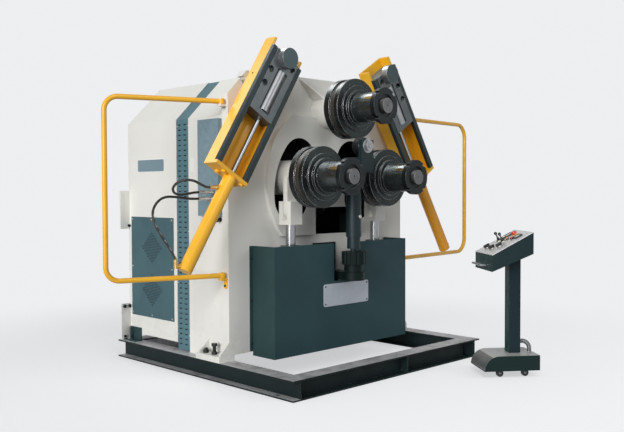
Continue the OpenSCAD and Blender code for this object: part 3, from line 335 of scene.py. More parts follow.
conduit_grey = milled("conduit_grey", (0.15, 0.16, 0.16), 0.36, (25.0, 25.0, 25.0),
                      (0.4, 0.41, 0.41), 0.6, 0.3)
brass = milled("brass_fitting", (0.58, 0.38, 0.12), 0.32, (25.0, 25.0, 25.0), (0.75, 0.55, 0.25), 0.9, 0.3)
chrome = milled("chrome_rod", (0.36, 0.37, 0.39), 0.2, (90.0, 90.0, 3.0), (0.85, 0.85, 0.86), 1.0, 0.1)
roller_steel = milled("ground_roller_steel", (0.33, 0.34, 0.35), 0.34, (90.0, 90.0, 3.0),
                      (0.7, 0.7, 0.7), 0.9, 0.2)
panel_metal = milled("panel_metal", (0.92, 0.94, 0.96), 0.4, (3.0, 60.0, 60.0),
                     (0.95, 0.96, 0.97), 0.85, 0.15)
pin_face = milled("pin_roll_face", (0.056, 0.084, 0.090), 0.4, (20.0, 20.0, 20.0), (0.4, 0.42, 0.43), 0.6)
base_metal = milled("console_top_metal", (0.52, 0.53, 0.52), 0.42, (4.0, 40.0, 40.0),
                    (0.6, 0.6, 0.59), 0.25, 0.5)
nose_metal = milled("console_nose_metal", (0.20, 0.215, 0.21), 0.4, (4.0, 50.0, 50.0),
                    (0.4, 0.41, 0.4), 0.5, 0.6)
silver_plate = milled("blank_plate_metal", (0.46, 0.50, 0.56), 0.45, (3.0, 60.0, 60.0),
                      (0.65, 0.67, 0.7), 0.4, 0.15)
blue_plate = painted("blue_plate_paint", (0.16, 0.245, 0.29), 0.35, 0.05, 0.08, 300.0, coat=0.3)
white_plate = painted("white_plate_paint", (0.86, 0.86, 0.85), 0.35, 0.02, 0.05, 300.0)
black_plastic = moulded("black_plastic", (0.012, 0.012, 0.013), 0.36)
# Near black for holes, slots and perforations: painted shade
recess_shade = moulded("recess_shade", (0.004, 0.006, 0.007), 0.7, Specular_IOR_Level=0.1)
red_plastic = moulded("red_plastic", (0.62, 0.018, 0.015), 0.25, 0.04, Coat_Weight=0.4)
amber_lens = moulded("amber_lens", (0.85, 0.42, 0.04), 0.16, 0.03, Transmission_Weight=0.35,
                     Coat_Weight=0.6)
red_lens = moulded("red_lens", (0.65, 0.03, 0.02), 0.16, 0.03, Transmission_Weight=0.35, Coat_Weight=0.6)
white_lens = moulded("white_lens", (0.82, 0.82, 0.78), 0.18, 0.03, Transmission_Weight=0.2, Coat_Weight=0.6)
screen_glass = moulded("screen_glass", (0.42, 0.46, 0.44), 0.1, 0.02, Coat_Weight=0.8)
wheel_rubber = moulded("wheel_rubber", (0.014, 0.014, 0.014), 0.6, 0.3, 160.0)
hose_plain = hose_rubber("hose_rubber_plain", 0.1)
hose_marked = hose_rubber("hose_rubber_marked", 0.9, 0.62)


# Short calls for meshes
def frame_at(origin, across, up):
    """Matrix whose X runs across, Y up and Z out of a face."""
    across, up = Vector(across).normalized(), Vector(up).normalized()
    out = across.cross(up)
    return Matrix.Translation(Vector(origin)) @ Matrix((across, up, out)).transposed().to_4x4()


def front_face(x, z, y):
    return frame_at((x, y, z), X, Z)


def rounded_rect(w, h, r, steps=5):
    """Outline of a rectangle with round corners, about the middle."""
    points = []
    for i, (sx, sy) in enumerate(((1, 1), (-1, 1), (-1, -1), (1, -1))):
        for k in range(steps + 1):
            a = math.pi / 2 * (i + k / steps)
            points.append((sx * (w / 2 - r) + r * math.cos(a), sy * (h / 2 - r) + r * math.sin(a)))
    return points


def ring_of(bm, matrix, points, z):
    return [bm.verts.new(matrix @ Vector((x, y, z))) for x, y in points]


def bridge(bm, low, high):
    n = len(low)
    for i in range(n):
        bm.faces.new((low[i], low[(i + 1) % n], high[(i + 1) % n], high[i]))


def slab(bm, matrix, w, h, t, r=0.004, edge=0.0008):
    """Plate with round corners and a small chamfer on its outer face."""
    low = ring_of(bm, matrix, rounded_rect(w, h, r), 0)
    mid = ring_of(bm, matrix, rounded_rect(w, h, r), t - edge)
    top = ring_of(bm, matrix, rounded_rect(w - 2 * edge, h - 2 * edge, max(r - edge, 0.0004)), t)
    bridge(bm, low, mid)
    bridge(bm, mid, top)
    bm.faces.new(top)
    bm.faces.new(low[::-1])


def lathe(bm, matrix, profile, steps=24):
    """Closed turned shape about local Z from (radius, height) pairs, with flat ends."""
    rings = []
    for r, z in profile:
        circle = [(r * math.cos(2 * math.pi * k / steps), r * math.sin(2 * math.pi * k / steps))
                  for k in range(steps)]
        rings.append(ring_of(bm, matrix, circle, z))
    for low, high in zip(rings, rings[1:]):
        bridge(bm, low, high)
    bm.faces.new(rings[0][::-1])
    bm.faces.new(rings[-1])


def pan_head(bm, matrix, d):
    """Round screw head with a hexagon recess."""
    r, h = d / 2, d * 0.35
    lathe(bm, matrix, [(r, 0), (r, h * 0.45), (r * 0.86, h * 0.85), (r * 0.5, h), (r * 0.44, h)], 20)
    lathe(bm, matrix, [(r * 0.43, h * 0.9), (r * 0.43, h * 1.01)], 6)


def hex_head(bm, matrix, d, h):
    """Hexagon bolt head with a chamfered top."""
    lathe(bm, matrix, [(d / 2, 0), (d / 2, h * 0.85), (d * 0.44, h)], 6)


def piece(name, bm, material, body="machine"):
    """Makes an object of the mesh, which rides on a body."""
    mesh = bpy.data.meshes.new(name)
    bmesh.ops.recalc_face_normals(bm, faces=bm.faces)
    bm.to_mesh(mesh)
    bm.free()
    mesh.materials.append(material)
    mesh.shade_smooth()
    mesh.set_sharp_from_angle(angle=math.radians(32))
    obj = bpy.data.objects.new(name, mesh)
    scene.collection.objects.link(obj)
    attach(obj, body)
    return obj


# Hoses, along the same points as their solids, in millimetres
HOSE_D = 0.020
HOSE_UPPER = [(-1296, -200, 1561), (-1350, -200, 1559), (-1410, -205, 1551), (-1510, -232, 1543),
              (-1600, -280, 1556), (-1650, -330, 1592), (-1650, -380, 1632), (-1614, -428, 1656),
              (-1556, -462, 1652), (-1502, -480, 1626), (-1458, -485, 1606), (-1424, -485, 1600),
              (-1398, -485, 1600)]
HOSE_LOWER = [(-1296, -200, 1508), (-1360, -202, 1508), (-1440, -210, 1512), (-1566, -240, 1524),
              (-1668, -272, 1526), (-1752, -302, 1505), (-1818, -332, 1460), (-1858, -362, 1404),
              (-1864, -392, 1334), (-1842, -415, 1268), (-1804, -440, 1192), (-1773, -461, 1132),
              (-1752, -475, 1089), (-1738, -485, 1052)]


def smooth_route(points, steps=8):
    """Points on the smooth curve through the route, in metres."""
    p = [Vector(q) / 1000 for q in points]
    out = []
    for i in range(len(p) - 1):
        a, b, c, d = p[max(i - 1, 0)], p[i], p[i + 1], p[min(i + 2, len(p) - 1)]
        for k in range(steps):
            t = k / steps
            out.append(0.5 * (2 * b + (c - a) * t + (2 * a - 5 * b + 4 * c - d) * t * t
                              + (3 * b - a - 3 * c + d) * t * t * t))
    return out + [p[-1]]


def make_hose(name, points, material):
    route = smooth_route(points)
    sides, aside = 16, Vector((0.3, 1, 0.2))
    bm = bmesh.new()
    uv = bm.loops.layers.uv.new("UVMap")
    rings, lengths, run = [], [], 0.0
    for i, q in enumerate(route):
        run += (q - route[i - 1]).length if i else 0.0
        lengths.append(run)
        ahead = (route[min(i + 1, len(route) - 1)] - route[max(i - 1, 0)]).normalized()
        side = (aside - aside.dot(ahead) * ahead).normalized()
        over = ahead.cross(side)
        turn = [2 * math.pi * k / sides for k in range(sides)]
        rings.append([bm.verts.new(q + HOSE_D / 2 * (math.cos(a) * side + math.sin(a) * over))
                      for a in turn])
    for i in range(len(rings) - 1):
        for k in range(sides):
            m = (k + 1) % sides
            face = bm.faces.new((rings[i][k], rings[i][m], rings[i + 1][m], rings[i + 1][k]))
            corners = ((lengths[i], k), (lengths[i], k + 1), (lengths[i + 1], k + 1), (lengths[i + 1], k))
            for loop, (u, v) in zip(face.loops, corners):
                loop[uv].uv = (u, v / sides)
    bm.faces.new(rings[0][::-1])
    bm.faces.new(rings[-1])
    hose = piece("supply_" + name, bm, material, "machine")
    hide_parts(name)


make_hose("hose_upper", HOSE_UPPER, hose_plain)
make_hose("hose_lower", HOSE_LOWER, hose_marked)


# Studio: pale floor, world light and lamps
BACKGROUND = (0.851, 0.859, 0.875)
FLOOR_COLOR = (0.78, 0.785, 0.795)
FLOOR_LIFT = 0.65
FLOOR_SIZE = 60
FADE_NEAR, FADE_FAR = 2.4, 5.2
ROOM_LIGHT = 0.25
MIRRORED_ROOM = 0.7


def seen_factor(g):
    """1 for rays that show the background: camera, glossy and transmission."""
    path = g.add("LightPath")
    seen = g.math("MAXIMUM", path.outputs["Is Camera Ray"], path.outputs["Is Glossy Ray"])
    return g.math("MAXIMUM", seen, path.outputs["Is Transmission Ray"])


def make_floor():
    g = Graph("floor")
    diffuse = g.add("BsdfDiffuse", {"Color": rgba(FLOOR_COLOR)})
    glow = g.math("MULTIPLY", seen_factor(g), FLOOR_LIFT)
    lift = g.add("Emission", {"Color": rgba(BACKGROUND), "Strength": glow})
    near = g.add("AddShader")
    g.tree.links.new(diffuse.outputs[0], near.inputs[0])
    g.tree.links.new(lift.outputs[0], near.inputs[1])
    far = g.add("Emission", {"Color": rgba(BACKGROUND), "Strength": seen_factor(g)})
    away = g.add("VectorMath", {0: g.place}, operation="LENGTH").outputs["Value"]
    both = g.add("MixShader", {0: g.range(away, FADE_NEAR, FADE_FAR)})
    g.tree.links.new(near.outputs[0], both.inputs[1])
    g.tree.links.new(far.outputs[0], both.inputs[2])
    out = g.add("OutputMaterial")
    g.tree.links.new(both.outputs[0], out.inputs["Surface"])
    bm = bmesh.new()
    bmesh.ops.create_grid(bm, x_segments=1, y_segments=1, size=FLOOR_SIZE)
    mesh = bpy.data.meshes.new("floor")
    bm.to_mesh(mesh)
    bm.free()
    mesh.materials.append(g.material)
    floor = bpy.data.objects.new("floor", mesh)
    scene.collection.objects.link(floor)
    floor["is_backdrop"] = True


def make_world():
    world = bpy.data.worlds.new("studio")
    world.use_nodes = True
    tree = world.node_tree
    tree.nodes.clear()
    path = tree.nodes.new("ShaderNodeLightPath")
    strength = None
    steps = (("Is Glossy Ray", MIRRORED_ROOM), ("Is Transmission Ray", 1.0), ("Is Camera Ray", 1.0))
    for ray, level in steps:
        choice = tree.nodes.new("ShaderNodeMapRange")
        tree.links.new(path.outputs[ray], choice.inputs["Value"])
        choice.inputs["To Min"].default_value = ROOM_LIGHT
        choice.inputs["To Max"].default_value = level
        if strength:
            tree.links.new(strength, choice.inputs["To Min"])
        strength = choice.outputs["Result"]
    back = tree.nodes.new("ShaderNodeBackground")
    back.inputs["Color"].default_value = rgba(BACKGROUND)
    tree.links.new(strength, back.inputs["Strength"])
    out = tree.nodes.new("ShaderNodeOutputWorld")
    tree.links.new(back.outputs[0], out.inputs["Surface"])
    scene.world = world


def lamp(name, kind, at, aim, energy, size, color=(1, 1, 1)):
    data = bpy.data.lights.new(name, kind)
    data.energy = energy
    data.color = color
    if kind == "SUN":
        data.angle = size
    else:
        data.size = size
    obj = bpy.data.objects.new(name, data)
    obj.location = at
    obj.rotation_mode = "QUATERNION"
    obj.rotation_quaternion = (Vector(aim) - Vector(at)).to_track_quat("-Z", "Y")
    scene.collection.objects.link(obj)
    return obj


make_floor()
make_world()
MIDDLE = (0, 0, 1.2)
STREAK_AT, STREAK_AIM, STREAK_SIZE = (0.4, 3.2, 6.0), (0, -0.9, 1.9), 2.4
left_light = lamp("left_light", "SUN", (-8, -2.4, 3.2), MIDDLE, 2.65, math.radians(35), (1.0, 0.99, 0.97))
lamp("top_box", "AREA", (-2.5, -4.5, 5.5), (0, -0.8, 1.6), 65, 3.0)
lamp("front_box", "AREA", (3.5, -7.0, 4.0), (0, -0.6, 1.6), 70, 3.0)
sheen_box = lamp("sheen_box", "AREA", (-3.0, 3.9, 5.8), (-1.5, -0.4, 2.1), 50, 2.5)
streak_box = lamp("streak_box", "AREA", STREAK_AT, STREAK_AIM, 170, STREAK_SIZE)
sleeve_box = lamp("sleeve_box", "AREA", STREAK_AT, STREAK_AIM, 520, STREAK_SIZE)


# Materials of the solids; faces are told apart by place, with some slack, and by where they face
TOUCH = 0.0005
SQUARE = 0.9
TOWARD = 0.5


def dress(node, material):
    mesh = CAD[node].data
    mesh.materials.clear()
    mesh.materials.append(material)


def dress_faces(node, materials, pick):
    """Gives each face of a solid one of the materials; pick gets the face's middle and normal."""
    mesh = CAD[node].data
    mesh.materials.clear()
    for m in materials:
        mesh.materials.append(m)
    for face in mesh.polygons:
        face.material_index = pick(face.center, face.normal)


PLAIN = {
    cream: ["side_plates", "cabinet_shell"],
    teal_cover: ["side_cover"],
    teal_panel: ["access_panel"],
    teal_vent: ["vent_band"],
    yellow: ["guide_frames", "left_guard", "right_guard"],
    rail_steel: ["guide_rails"],
    grey_paint: ["bend_cylinders", "power_pack", "upper_drive", "left_drive", "right_drive"],
    black_cast: ["center_bracket", "center_collar"],
    bright_steel: ["pivot_pin"],
    conduit_grey: ["console_conduit"],
    red_plastic: ["emergency_stop"],
    black_plastic: ["left_joystick", "right_joystick", "selector_a", "selector_b", "selector_c"],
    roller_steel: ["left_face_roll", "right_face_roll"],
    wheel_rubber: ["front_wheels", "rear_wheels"],
}
for material, nodes in PLAIN.items():
    for node in nodes:
        dress(node, material)

UPPER_FLANGE_Z, LEFT_BEAM_X, REAR_BEAM_Y = 0.1, -1.05, 1.1
# Upper faces of the top flanges and of the left beam, and the rear beam's front faces, take the pale steel:
# partly wear, partly painted light
dress_faces("base_frame", [base_paint, flange_top],
            lambda c, n: 1 if n.z > SQUARE and (c.z > UPPER_FLANGE_Z or c.x < LEFT_BEAM_X)
            or n.y < -SQUARE and c.y > REAR_BEAM_Y else 0)
# The apron's left face takes the darker charcoal: painted shade
dress_faces("apron", [charcoal, charcoal_shaded], lambda c, n: 1 if n.x < -TOWARD else 0)
# The right guide cylinder takes the shaded yellow: painted shade
dress_faces("guide_cylinders", [yellow, yellow_shaded], lambda c, n: 1 if c.x > 0 else 0)
REAR_CLIP_Y, REAR_CLIP_Z = 0.95, 0.174
REAR_STUD_X, REAR_STUD_Y, REAR_STUD_REACH = 1.150, 1.112, 0.030


def anchor_zone(c, n):
    if c.y < REAR_CLIP_Y:
        return 0
    near_stud = math.hypot(abs(c.x) - REAR_STUD_X, c.y - REAR_STUD_Y) < REAR_STUD_REACH
    return 2 if near_stud and c.z > REAR_CLIP_Z else 1


dress_faces("anchor_bolts", [black_steel, charcoal_shaded, slide_steel], anchor_zone)
FITTING_SPLIT_X = -1.33
dress_faces("hose_fittings", [plated, brass], lambda c, n: 1 if c.x < FITTING_SPLIT_X else 0)
CLEVIS_Z = 1.279
CARRIAGE_Z = 2.03
for side in ("left", "right"):
    dress_faces(side + "_rod", [chrome, cream_arm], lambda c, n: 1 if c.z > CLEVIS_Z else 0)
    dress_faces(side + "_carriage", [slide_steel, chrome],
                lambda c, n: 1 if c.z < CARRIAGE_Z and abs(n.y) < 0.99 else 0)
    dress_faces(side + "_pin_roll", [roller_steel, pin_face], lambda c, n: 1 if abs(n.y) > SQUARE else 0)
POST_FACE_Y = -0.880
POST_NUT_Y = POST_FACE_Y - TOUCH
dress_faces("center_post", [post_paint, bright_steel], lambda c, n: 1 if c.y < POST_NUT_Y else 0)

# Painted shade: near black inside and behind the openings of the front plate
PIVOT = Vector((0, 0, 1.550))
OPENING_R = 0.645
PLATE_BACK = -0.330
PLATE_FACE = -0.405
HOUSING_R = 0.155
LUG_X, LUG_Z = 1.1105, 1.0


def flat_distance(c, at):
    return math.hypot(c.x - at.x, c.z - at.z)


def plate_zone(c, n):
    if abs(c.x) > LUG_X and c.z < LUG_Z:
        return 2
    inside = c.y > PLATE_FACE and abs(n.y) < 0.3
    return 1 if inside and flat_distance(c, PIVOT) < OPENING_R else 0


dress_faces("front_plate", [cream, inner_shade, yellow], plate_zone)
# The back plate's front face and the arms' faces behind the plate also take painted shade
dress_faces("back_plate", [cream, inner_shade],
            lambda c, n: 1 if n.y < -SQUARE or flat_distance(c, PIVOT) < OPENING_R else 0)
for side in ("left", "right"):
    spin = Vector(JOINTS[side + "_roll_spin"]["pos_m"])
    dress_faces(side + "_arm", [cream_arm, inner_shade], lambda c, n: 1 if c.y > PLATE_BACK
                and (abs(n.y) > SQUARE or flat_distance(c, spin) > HOUSING_R) else 0)

# Console frame: U from the low end to the high end, V across
CONSOLE_AT = Vector((0.750, -1.797, 0))
CON_A = math.radians(37.5)
CON_U = Vector((math.cos(CON_A), -math.sin(CON_A), 0))
CON_V = Vector((math.sin(CON_A), math.cos(CON_A), 0))
BOX_U0, BOX_L, BOX_W, HANDLE_OUT = -0.203, 0.355, 0.430, 0.003
PANEL_Z0, PANEL_RISE, PANEL_T = 1.030, 0.187, 0.004
PANEL_A = math.atan2(PANEL_RISE, BOX_L)
PANEL_ALONG = math.cos(PANEL_A) * CON_U + math.sin(PANEL_A) * Z
PANEL_OUT = PANEL_ALONG.cross(CON_V)
PANEL_AT = CONSOLE_AT + BOX_U0 * CON_U + PANEL_Z0 * Z


def panel_frame(a, b, lift=0.0):
    """Frame on the sloping panel, a along the slope and b across, both from 0 to 1."""
    at = CONSOLE_AT + (BOX_U0 + BOX_L * a) * CON_U + BOX_W * (b - 0.5) * CON_V
    at = at + (PANEL_Z0 + PANEL_RISE * a) * Z + (PANEL_T + lift) * PANEL_OUT
    return frame_at(at, PANEL_ALONG, CON_V)


def over_panel(c):
    return (c - PANEL_AT).dot(PANEL_OUT) - PANEL_T


def base_zone(c, n):
    if abs(n.dot(CON_V)) > TOWARD or n.dot(CON_U) > TOWARD or n.z < 0.05:
        return 0
    return 1 if n.z > SQUARE else 2


dress_faces("console_base", [console_side, base_metal, nose_metal], base_zone)
# Post faces toward the left lamp take the lighter green: painted light
dress_faces("console_post", [console_paint, console_lit_green], lambda c, n: 1 if n.dot(CON_U) < -TOWARD else 0)


def box_zone(c, n):
    if (c - CONSOLE_AT).dot(CON_U) < BOX_U0 - HANDLE_OUT:
        return 1
    return 2 if n.dot(CON_U) < -TOWARD else 0


# The box's end toward the left lamp takes the lighter green: painted light
dress_faces("console_box", [console_slate, chrome, console_lit_green], box_zone)
dress_faces("console_panel", [panel_metal, black_plastic], lambda c, n: 1 if over_panel(c) > TOUCH else 0)

# Rolls, each turned about its own axis
DISC_GREY = (0.038, 0.047, 0.048)
SLEEVE_GREY = (0.105, 0.122, 0.126)
BAND_GREY = (0.11, 0.103, 0.096)
BAND_Y = (-0.716, -0.659)
SLEEVE_Y = -0.801
DISC_FACE_Y, SCREW_HOLE_L = -0.760, 0.025
SCREWS_R = (0.15, 0.25)
CENTER_ROLL_Z = 1.957
SPINDLES = {}


def roll_zone(c, n, axis):
    if BAND_Y[0] < c.y < BAND_Y[1] and abs(n.y) < TOWARD:
        return 1
    if c.y < SLEEVE_Y:
        return 2
    # The walls of the screw holes in the disc faces take painted shade
    in_hole = TOUCH < c.y - DISC_FACE_Y < SCREW_HOLE_L + TOUCH
    return 3 if in_hole and SCREWS_R[0] < flat_distance(c, axis) < SCREWS_R[1] else 0


for side in ("upper", "left", "right"):
    at = JOINTS[side + "_roll_spin"]["pos_m"]
    SPINDLES[side] = (at[0], at[2])
    disc = turned(side + "_disc_steel", DISC_GREY, 0.30, at[0], at[2])
    band = turned(side + "_band_steel", BAND_GREY, 0.42, at[0], at[2], (0.4, 0.38, 0.35),
                  (0.09, 0.065, 0.05))
    sleeve = turned(side + "_sleeve_steel", SLEEVE_GREY, 0.24, at[0], at[2], fine=250.0)
    nut = turned(side + "_nut_steel", (0.026, 0.031, 0.033), 0.38, at[0], at[2], (0.13, 0.14, 0.145))
    shaft = turned(side + "_shaft_steel", (0.155, 0.16, 0.165), 0.36, at[0], at[2], STEEL_EDGE,
                   (0.09, 0.09, 0.09), 700.0)
    dress_faces(side + "_roll", [disc, band, sleeve, recess_shade], lambda c, n: roll_zone(c, n, Vector(at)))
    dress(side + "_nut", nut)
    dress(side + "_shaft", shaft)
dress("center_roll", turned("center_roll_steel", (0.04, 0.046, 0.049), 0.38, 0.0, CENTER_ROLL_Z))


# Frames on the two side walls, looking at them from outside
def wall(side, x, y, z):
    return frame_at((side * x, y, z), side * Y, Z)


# Places on the side walls, the apron and the rear lugs, whose bolts are x, z and width
SIDES = (-1, 1)
WALL_X = 1.100
NAME_PLATE_Y, NAME_PLATE_Z = 0.812, 1.805
LABEL_Y, LABEL_Z, LABEL_W, LABEL_H = 0.1675, 1.7955, 0.053, 0.121
APRON_PLATE_X, APRON_PLATE_Z = 0.014, 0.651
APRON_SCREW_Z, APRON_FLANGE_Y = (0.28, 0.64, 1.00), -0.340
DIAMONDS_Z, PERFORATION_R = (1.050, 0.655), 0.0046
VENT_SCREWS_Z = (0.30, 0.76, 1.22, 1.68, 2.14)
KNOB_Y, KNOB_Z = -0.218, 1.332
STRAP_Y, STRAP_Z = -0.300, 0.798
LUG_BOLTS = ((1.112, 1.243, 0.030), (1.168, 0.476, 0.034), (1.114, 0.476, 0.034), (1.168, 0.190, 0.026))


# Rear cabinet: access panel screws and perforated diamonds, vent louvres, blank plates
def make_access_fittings():
    low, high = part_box("access_panel")
    inset = 0.022
    rows = [low.z + inset, (low.z + high.z) / 2, high.z - inset]
    columns = [low.y + inset, (low.y + high.y) / 2, high.y - inset]
    screws, holes = bmesh.new(), bmesh.new()
    pitch_y, pitch_z, reach, count = 0.0175, 0.0145, 0.165, 10
    middle_y = (low.y + high.y) / 2
    for side in SIDES:
        for y in columns:
            for z in rows:
                if (y, z) != (columns[1], rows[1]):
                    pan_head(screws, wall(side, high.x, y, z), 0.016)
        for middle in DIAMONDS_Z:
            for i in range(-count, count + 1):
                width = reach * (1 - abs(i) / (count + 0.5))
                shift = pitch_y / 2 if i % 2 else 0.0
                for j in range(-count, count + 1):
                    dy = j * pitch_y + shift
                    if abs(dy) <= width:
                        at = wall(side, high.x, middle_y + dy, middle + i * pitch_z)
                        # Each perforation is a flat near-black disc: painted shade of the hole
                        lathe(holes, at, [(PERFORATION_R, -0.0003), (PERFORATION_R, 0.0004)], 8)
    piece("access_screws", screws, plated)
    piece("access_perforations", holes, recess_shade)


def make_vent_fittings():
    low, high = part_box("vent_band")
    middle = (low.y + high.y) / 2
    slots, lips, screws = bmesh.new(), bmesh.new(), bmesh.new()
    pitch, start, count = 0.045, 0.217, 44
    slot_w, slot_h, lip_w, lip_h, lip_up = 0.034, 0.011, 0.038, 0.007, 0.0075
    column, shift, edge = 0.040, 0.008, 0.080
    for side in SIDES:
        for i in range(count):
            for dy in (shift - column, shift + column):
                z = start + i * pitch
                # Each slot is a thin near-black sheet under its lip: painted shade of the opening
                slab(slots, wall(side, high.x, middle + dy, z), slot_w, slot_h, 0.0006, 0.003, 0.0002)
                over = wall(side, high.x, middle + dy, z + lip_up)
                slab(lips, over, lip_w, lip_h, 0.0035, 0.003, 0.002)
        for z in VENT_SCREWS_Z:
            for dy in (-edge, edge):
                pan_head(screws, wall(side, high.x, middle + dy, z), 0.012)
    piece("vent_slots", slots, recess_shade)
    piece("vent_lips", lips, teal_vent)
    piece("vent_screws", screws, plated)


def plate_corners(at, w, h, inset, lift):
    """Frames at the four corners of a plate, for its rivets or screws."""
    for x in (-1, 1):
        for y in (-1, 1):
            yield at @ Matrix.Translation((x * (w / 2 - inset), y * (h / 2 - inset), lift))


def make_blank_plates():
    border, face, rivets, label = bmesh.new(), bmesh.new(), bmesh.new(), bmesh.new()
    at = wall(-1, WALL_X, NAME_PLATE_Y, NAME_PLATE_Z)
    w, h, rim = 0.445, 0.128, 0.010
    slab(border, at, w, h, 0.0015, 0.006)
    slab(face, at, w - 2 * rim, h - 2 * rim, 0.0023, 0.004)
    for corner in plate_corners(at, w, h, 0.016, 0.0022):
        pan_head(rivets, corner, 0.008)
    piece("name_plate_border", border, white_plate)
    piece("name_plate_face", face, blue_plate)
    piece("name_plate_rivets", rivets, plated)
    slab(label, wall(-1, WALL_X, LABEL_Y, LABEL_Z), LABEL_W, LABEL_H, 0.002, 0.004)
    piece("white_plate", label, white_plate)
    plate, screws = bmesh.new(), bmesh.new()
    apron_low, apron_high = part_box("apron")
    at = front_face(APRON_PLATE_X, APRON_PLATE_Z, apron_low.y)
    w, h, thick = 0.584, 0.198, 0.004
    slab(plate, at, w, h, thick, 0.020, 0.001)
    for corner in plate_corners(at, w, h, 0.022, thick):
        pan_head(screws, corner, 0.014)
    for side in SIDES:
        for z in APRON_SCREW_Z:
            pan_head(screws, front_face(side * (apron_high.x - 0.016), z, APRON_FLANGE_Y), 0.018)
    piece("apron_plate", plate, silver_plate)
    piece("apron_screws", screws, black_steel)


# Knob of the side cover, hinge straps of the gates and bolts of the rear lugs
def make_side_hardware():
    knob = bmesh.new()
    lathe(knob, wall(-1, WALL_X, KNOB_Y, KNOB_Z),
          [(0.020, 0), (0.020, 0.006), (0.010, 0.009), (0.010, 0.022), (0.019, 0.026), (0.021, 0.034),
           (0.018, 0.043), (0.008, 0.046)])
    piece("cover_knob", knob, black_plastic)
    straps, bolts = bmesh.new(), bmesh.new()
    plate_x, strap_w, strap_h, strap_t, bolt_drop = 1.110, 0.044, 0.068, 0.010, 0.010
    for side in SIDES:
        at = wall(side, plate_x, STRAP_Y, STRAP_Z)
        slab(straps, at, strap_w, strap_h, strap_t, 0.016, 0.0015)
        hex_head(bolts, at @ Matrix.Translation((0, -bolt_drop, strap_t)), 0.022, 0.008)
    piece("hinge_straps", straps, yellow)
    piece("hinge_bolts", bolts, black_steel)
    lug_bolts = bmesh.new()
    lug_y = 1.175
    for side in SIDES:
        for x, z, d in LUG_BOLTS:
            hex_head(lug_bolts, front_face(side * x, z, lug_y), d, 0.014)
    piece("lug_bolts", lug_bolts, black_steel)


# Brass strips on the roll sleeves, turned to where the sleeves show a brass-coloured streak: painted
# reflection; plug and washer on the centre post
def make_roll_brass_streaks():
    sleeve_r, streak_y, sink, turn = 0.1275, -0.985, 0.002, math.radians(58)
    streak_w, streak_l, streak_t = 0.026, 0.088, 0.006
    across = Vector((math.cos(turn), 0, math.sin(turn)))
    out = across.cross(Y)
    for side, (x, z) in SPINDLES.items():
        key = bmesh.new()
        at = Vector((x, streak_y, z)) + (sleeve_r - sink) * out
        # Each strip faces the camera side, where the streak shows: painted reflection
        slab(key, frame_at(at, across, Y), streak_w, streak_l, streak_t, 0.006, 0.001)
        piece(side + "_brass_streak", key, brass, side + "_spindle")


def make_post_fittings():
    plug, washer, stud = bmesh.new(), bmesh.new(), bmesh.new()
    post_r, post_y, plug_z, sink = 0.0675, -0.712, 1.341, 0.003
    turn = math.radians(9)
    out = Vector((math.sin(turn), -math.cos(turn), 0))
    at = frame_at(Vector((0, post_y, plug_z)) + (post_r - sink) * out, Z.cross(out), Z)
    lathe(plug, at, [(0.017, 0), (0.017, 0.007), (0.014, 0.011), (0.006, 0.012)])
    piece("post_plug", plug, plated, "center_lift")
    nut_at = front_face(0, CENTER_ROLL_Z, POST_FACE_Y)
    lathe(washer, nut_at, [(0.062, -0.002), (0.062, 0.004), (0.060, 0.006), (0.046, 0.006)], 36)
    piece("post_washer", washer, bright_steel, "center_lift")
    lathe(stud, nut_at, [(0.020, 0.02), (0.020, 0.034), (0.017, 0.037), (0.006, 0.037)])
    piece("post_stud", stud, bright_steel, "center_lift")


# Painted bolts under the heads of the guide cylinders and a screw on each guide's side
GUIDE_LEAN = math.radians(32)
GUIDE_AT = Vector((-1.227, 0, 1.725))
HEAD_BOLTS_X, HEAD_BOLTS_Y, HEAD_UNDERSIDE = (-0.062, 0.142), (-0.515, -0.430), -0.030
SIDE_SCREW = (-0.179, -0.440, 0.85)


def guide_frame(side, x, y, z, toward=(0, 0, -1)):
    """Frame at a point of a side guide in its own axes, facing along toward."""
    c, s = math.cos(GUIDE_LEAN), math.sin(GUIDE_LEAN)
    spin = Matrix(((c, 0, s), (0, 1, 0), (-s, 0, c)))
    mirror = Matrix.Diagonal((-side, 1, 1))
    at = mirror @ (GUIDE_AT + spin @ Vector((x, y, z)))
    out = mirror @ (spin @ Vector(toward))
    return frame_at(at, Y, out.cross(Y))


def make_guide_bolts():
    bolts, screws = bmesh.new(), bmesh.new()
    for side in SIDES:
        for x in HEAD_BOLTS_X:
            for y in HEAD_BOLTS_Y:
                lathe(bolts, guide_frame(side, x, y, HEAD_UNDERSIDE),
                      [(0.020, 0), (0.020, 0.014), (0.017, 0.018), (0.010, 0.018)], 20)
        pan_head(screws, guide_frame(side, *SIDE_SCREW, (-1, 0, 0)), 0.014)
    piece("guide_head_bolts", bolts, yellow)
    piece("guide_side_screws", screws, black_steel)


# Console: controls on the panel, handle ends and conduit; places run along and across the panel
STOP_AT = (0.83, 0.62)
JOYSTICKS_AT = ((0.52, 0.80), (0.52, 0.58))
SWITCHES_AT = ((0.22, 0.80), (0.22, 0.52), (0.34, 0.38))
DISPLAYS_AT = ((0.76, 0.80), (0.76, 0.32))
LAMPS = (("lamp_white", 0.63, 0.74, white_lens), ("lamp_amber", 0.61, 0.52, amber_lens),
         ("lamp_red", 0.64, 0.36, red_lens))
PANEL_SCREWS_A, PANEL_SCREWS_B = (0.035, 0.5, 0.965), (0.03, 0.97)
SWITCH_H, GLASS_H, LAMP_H = 0.026, 0.006, 0.0115
GLASS_SIZE = (0.0515, 0.0675)
HANDLE_V, HANDLE_Z = 0.105, 0.943


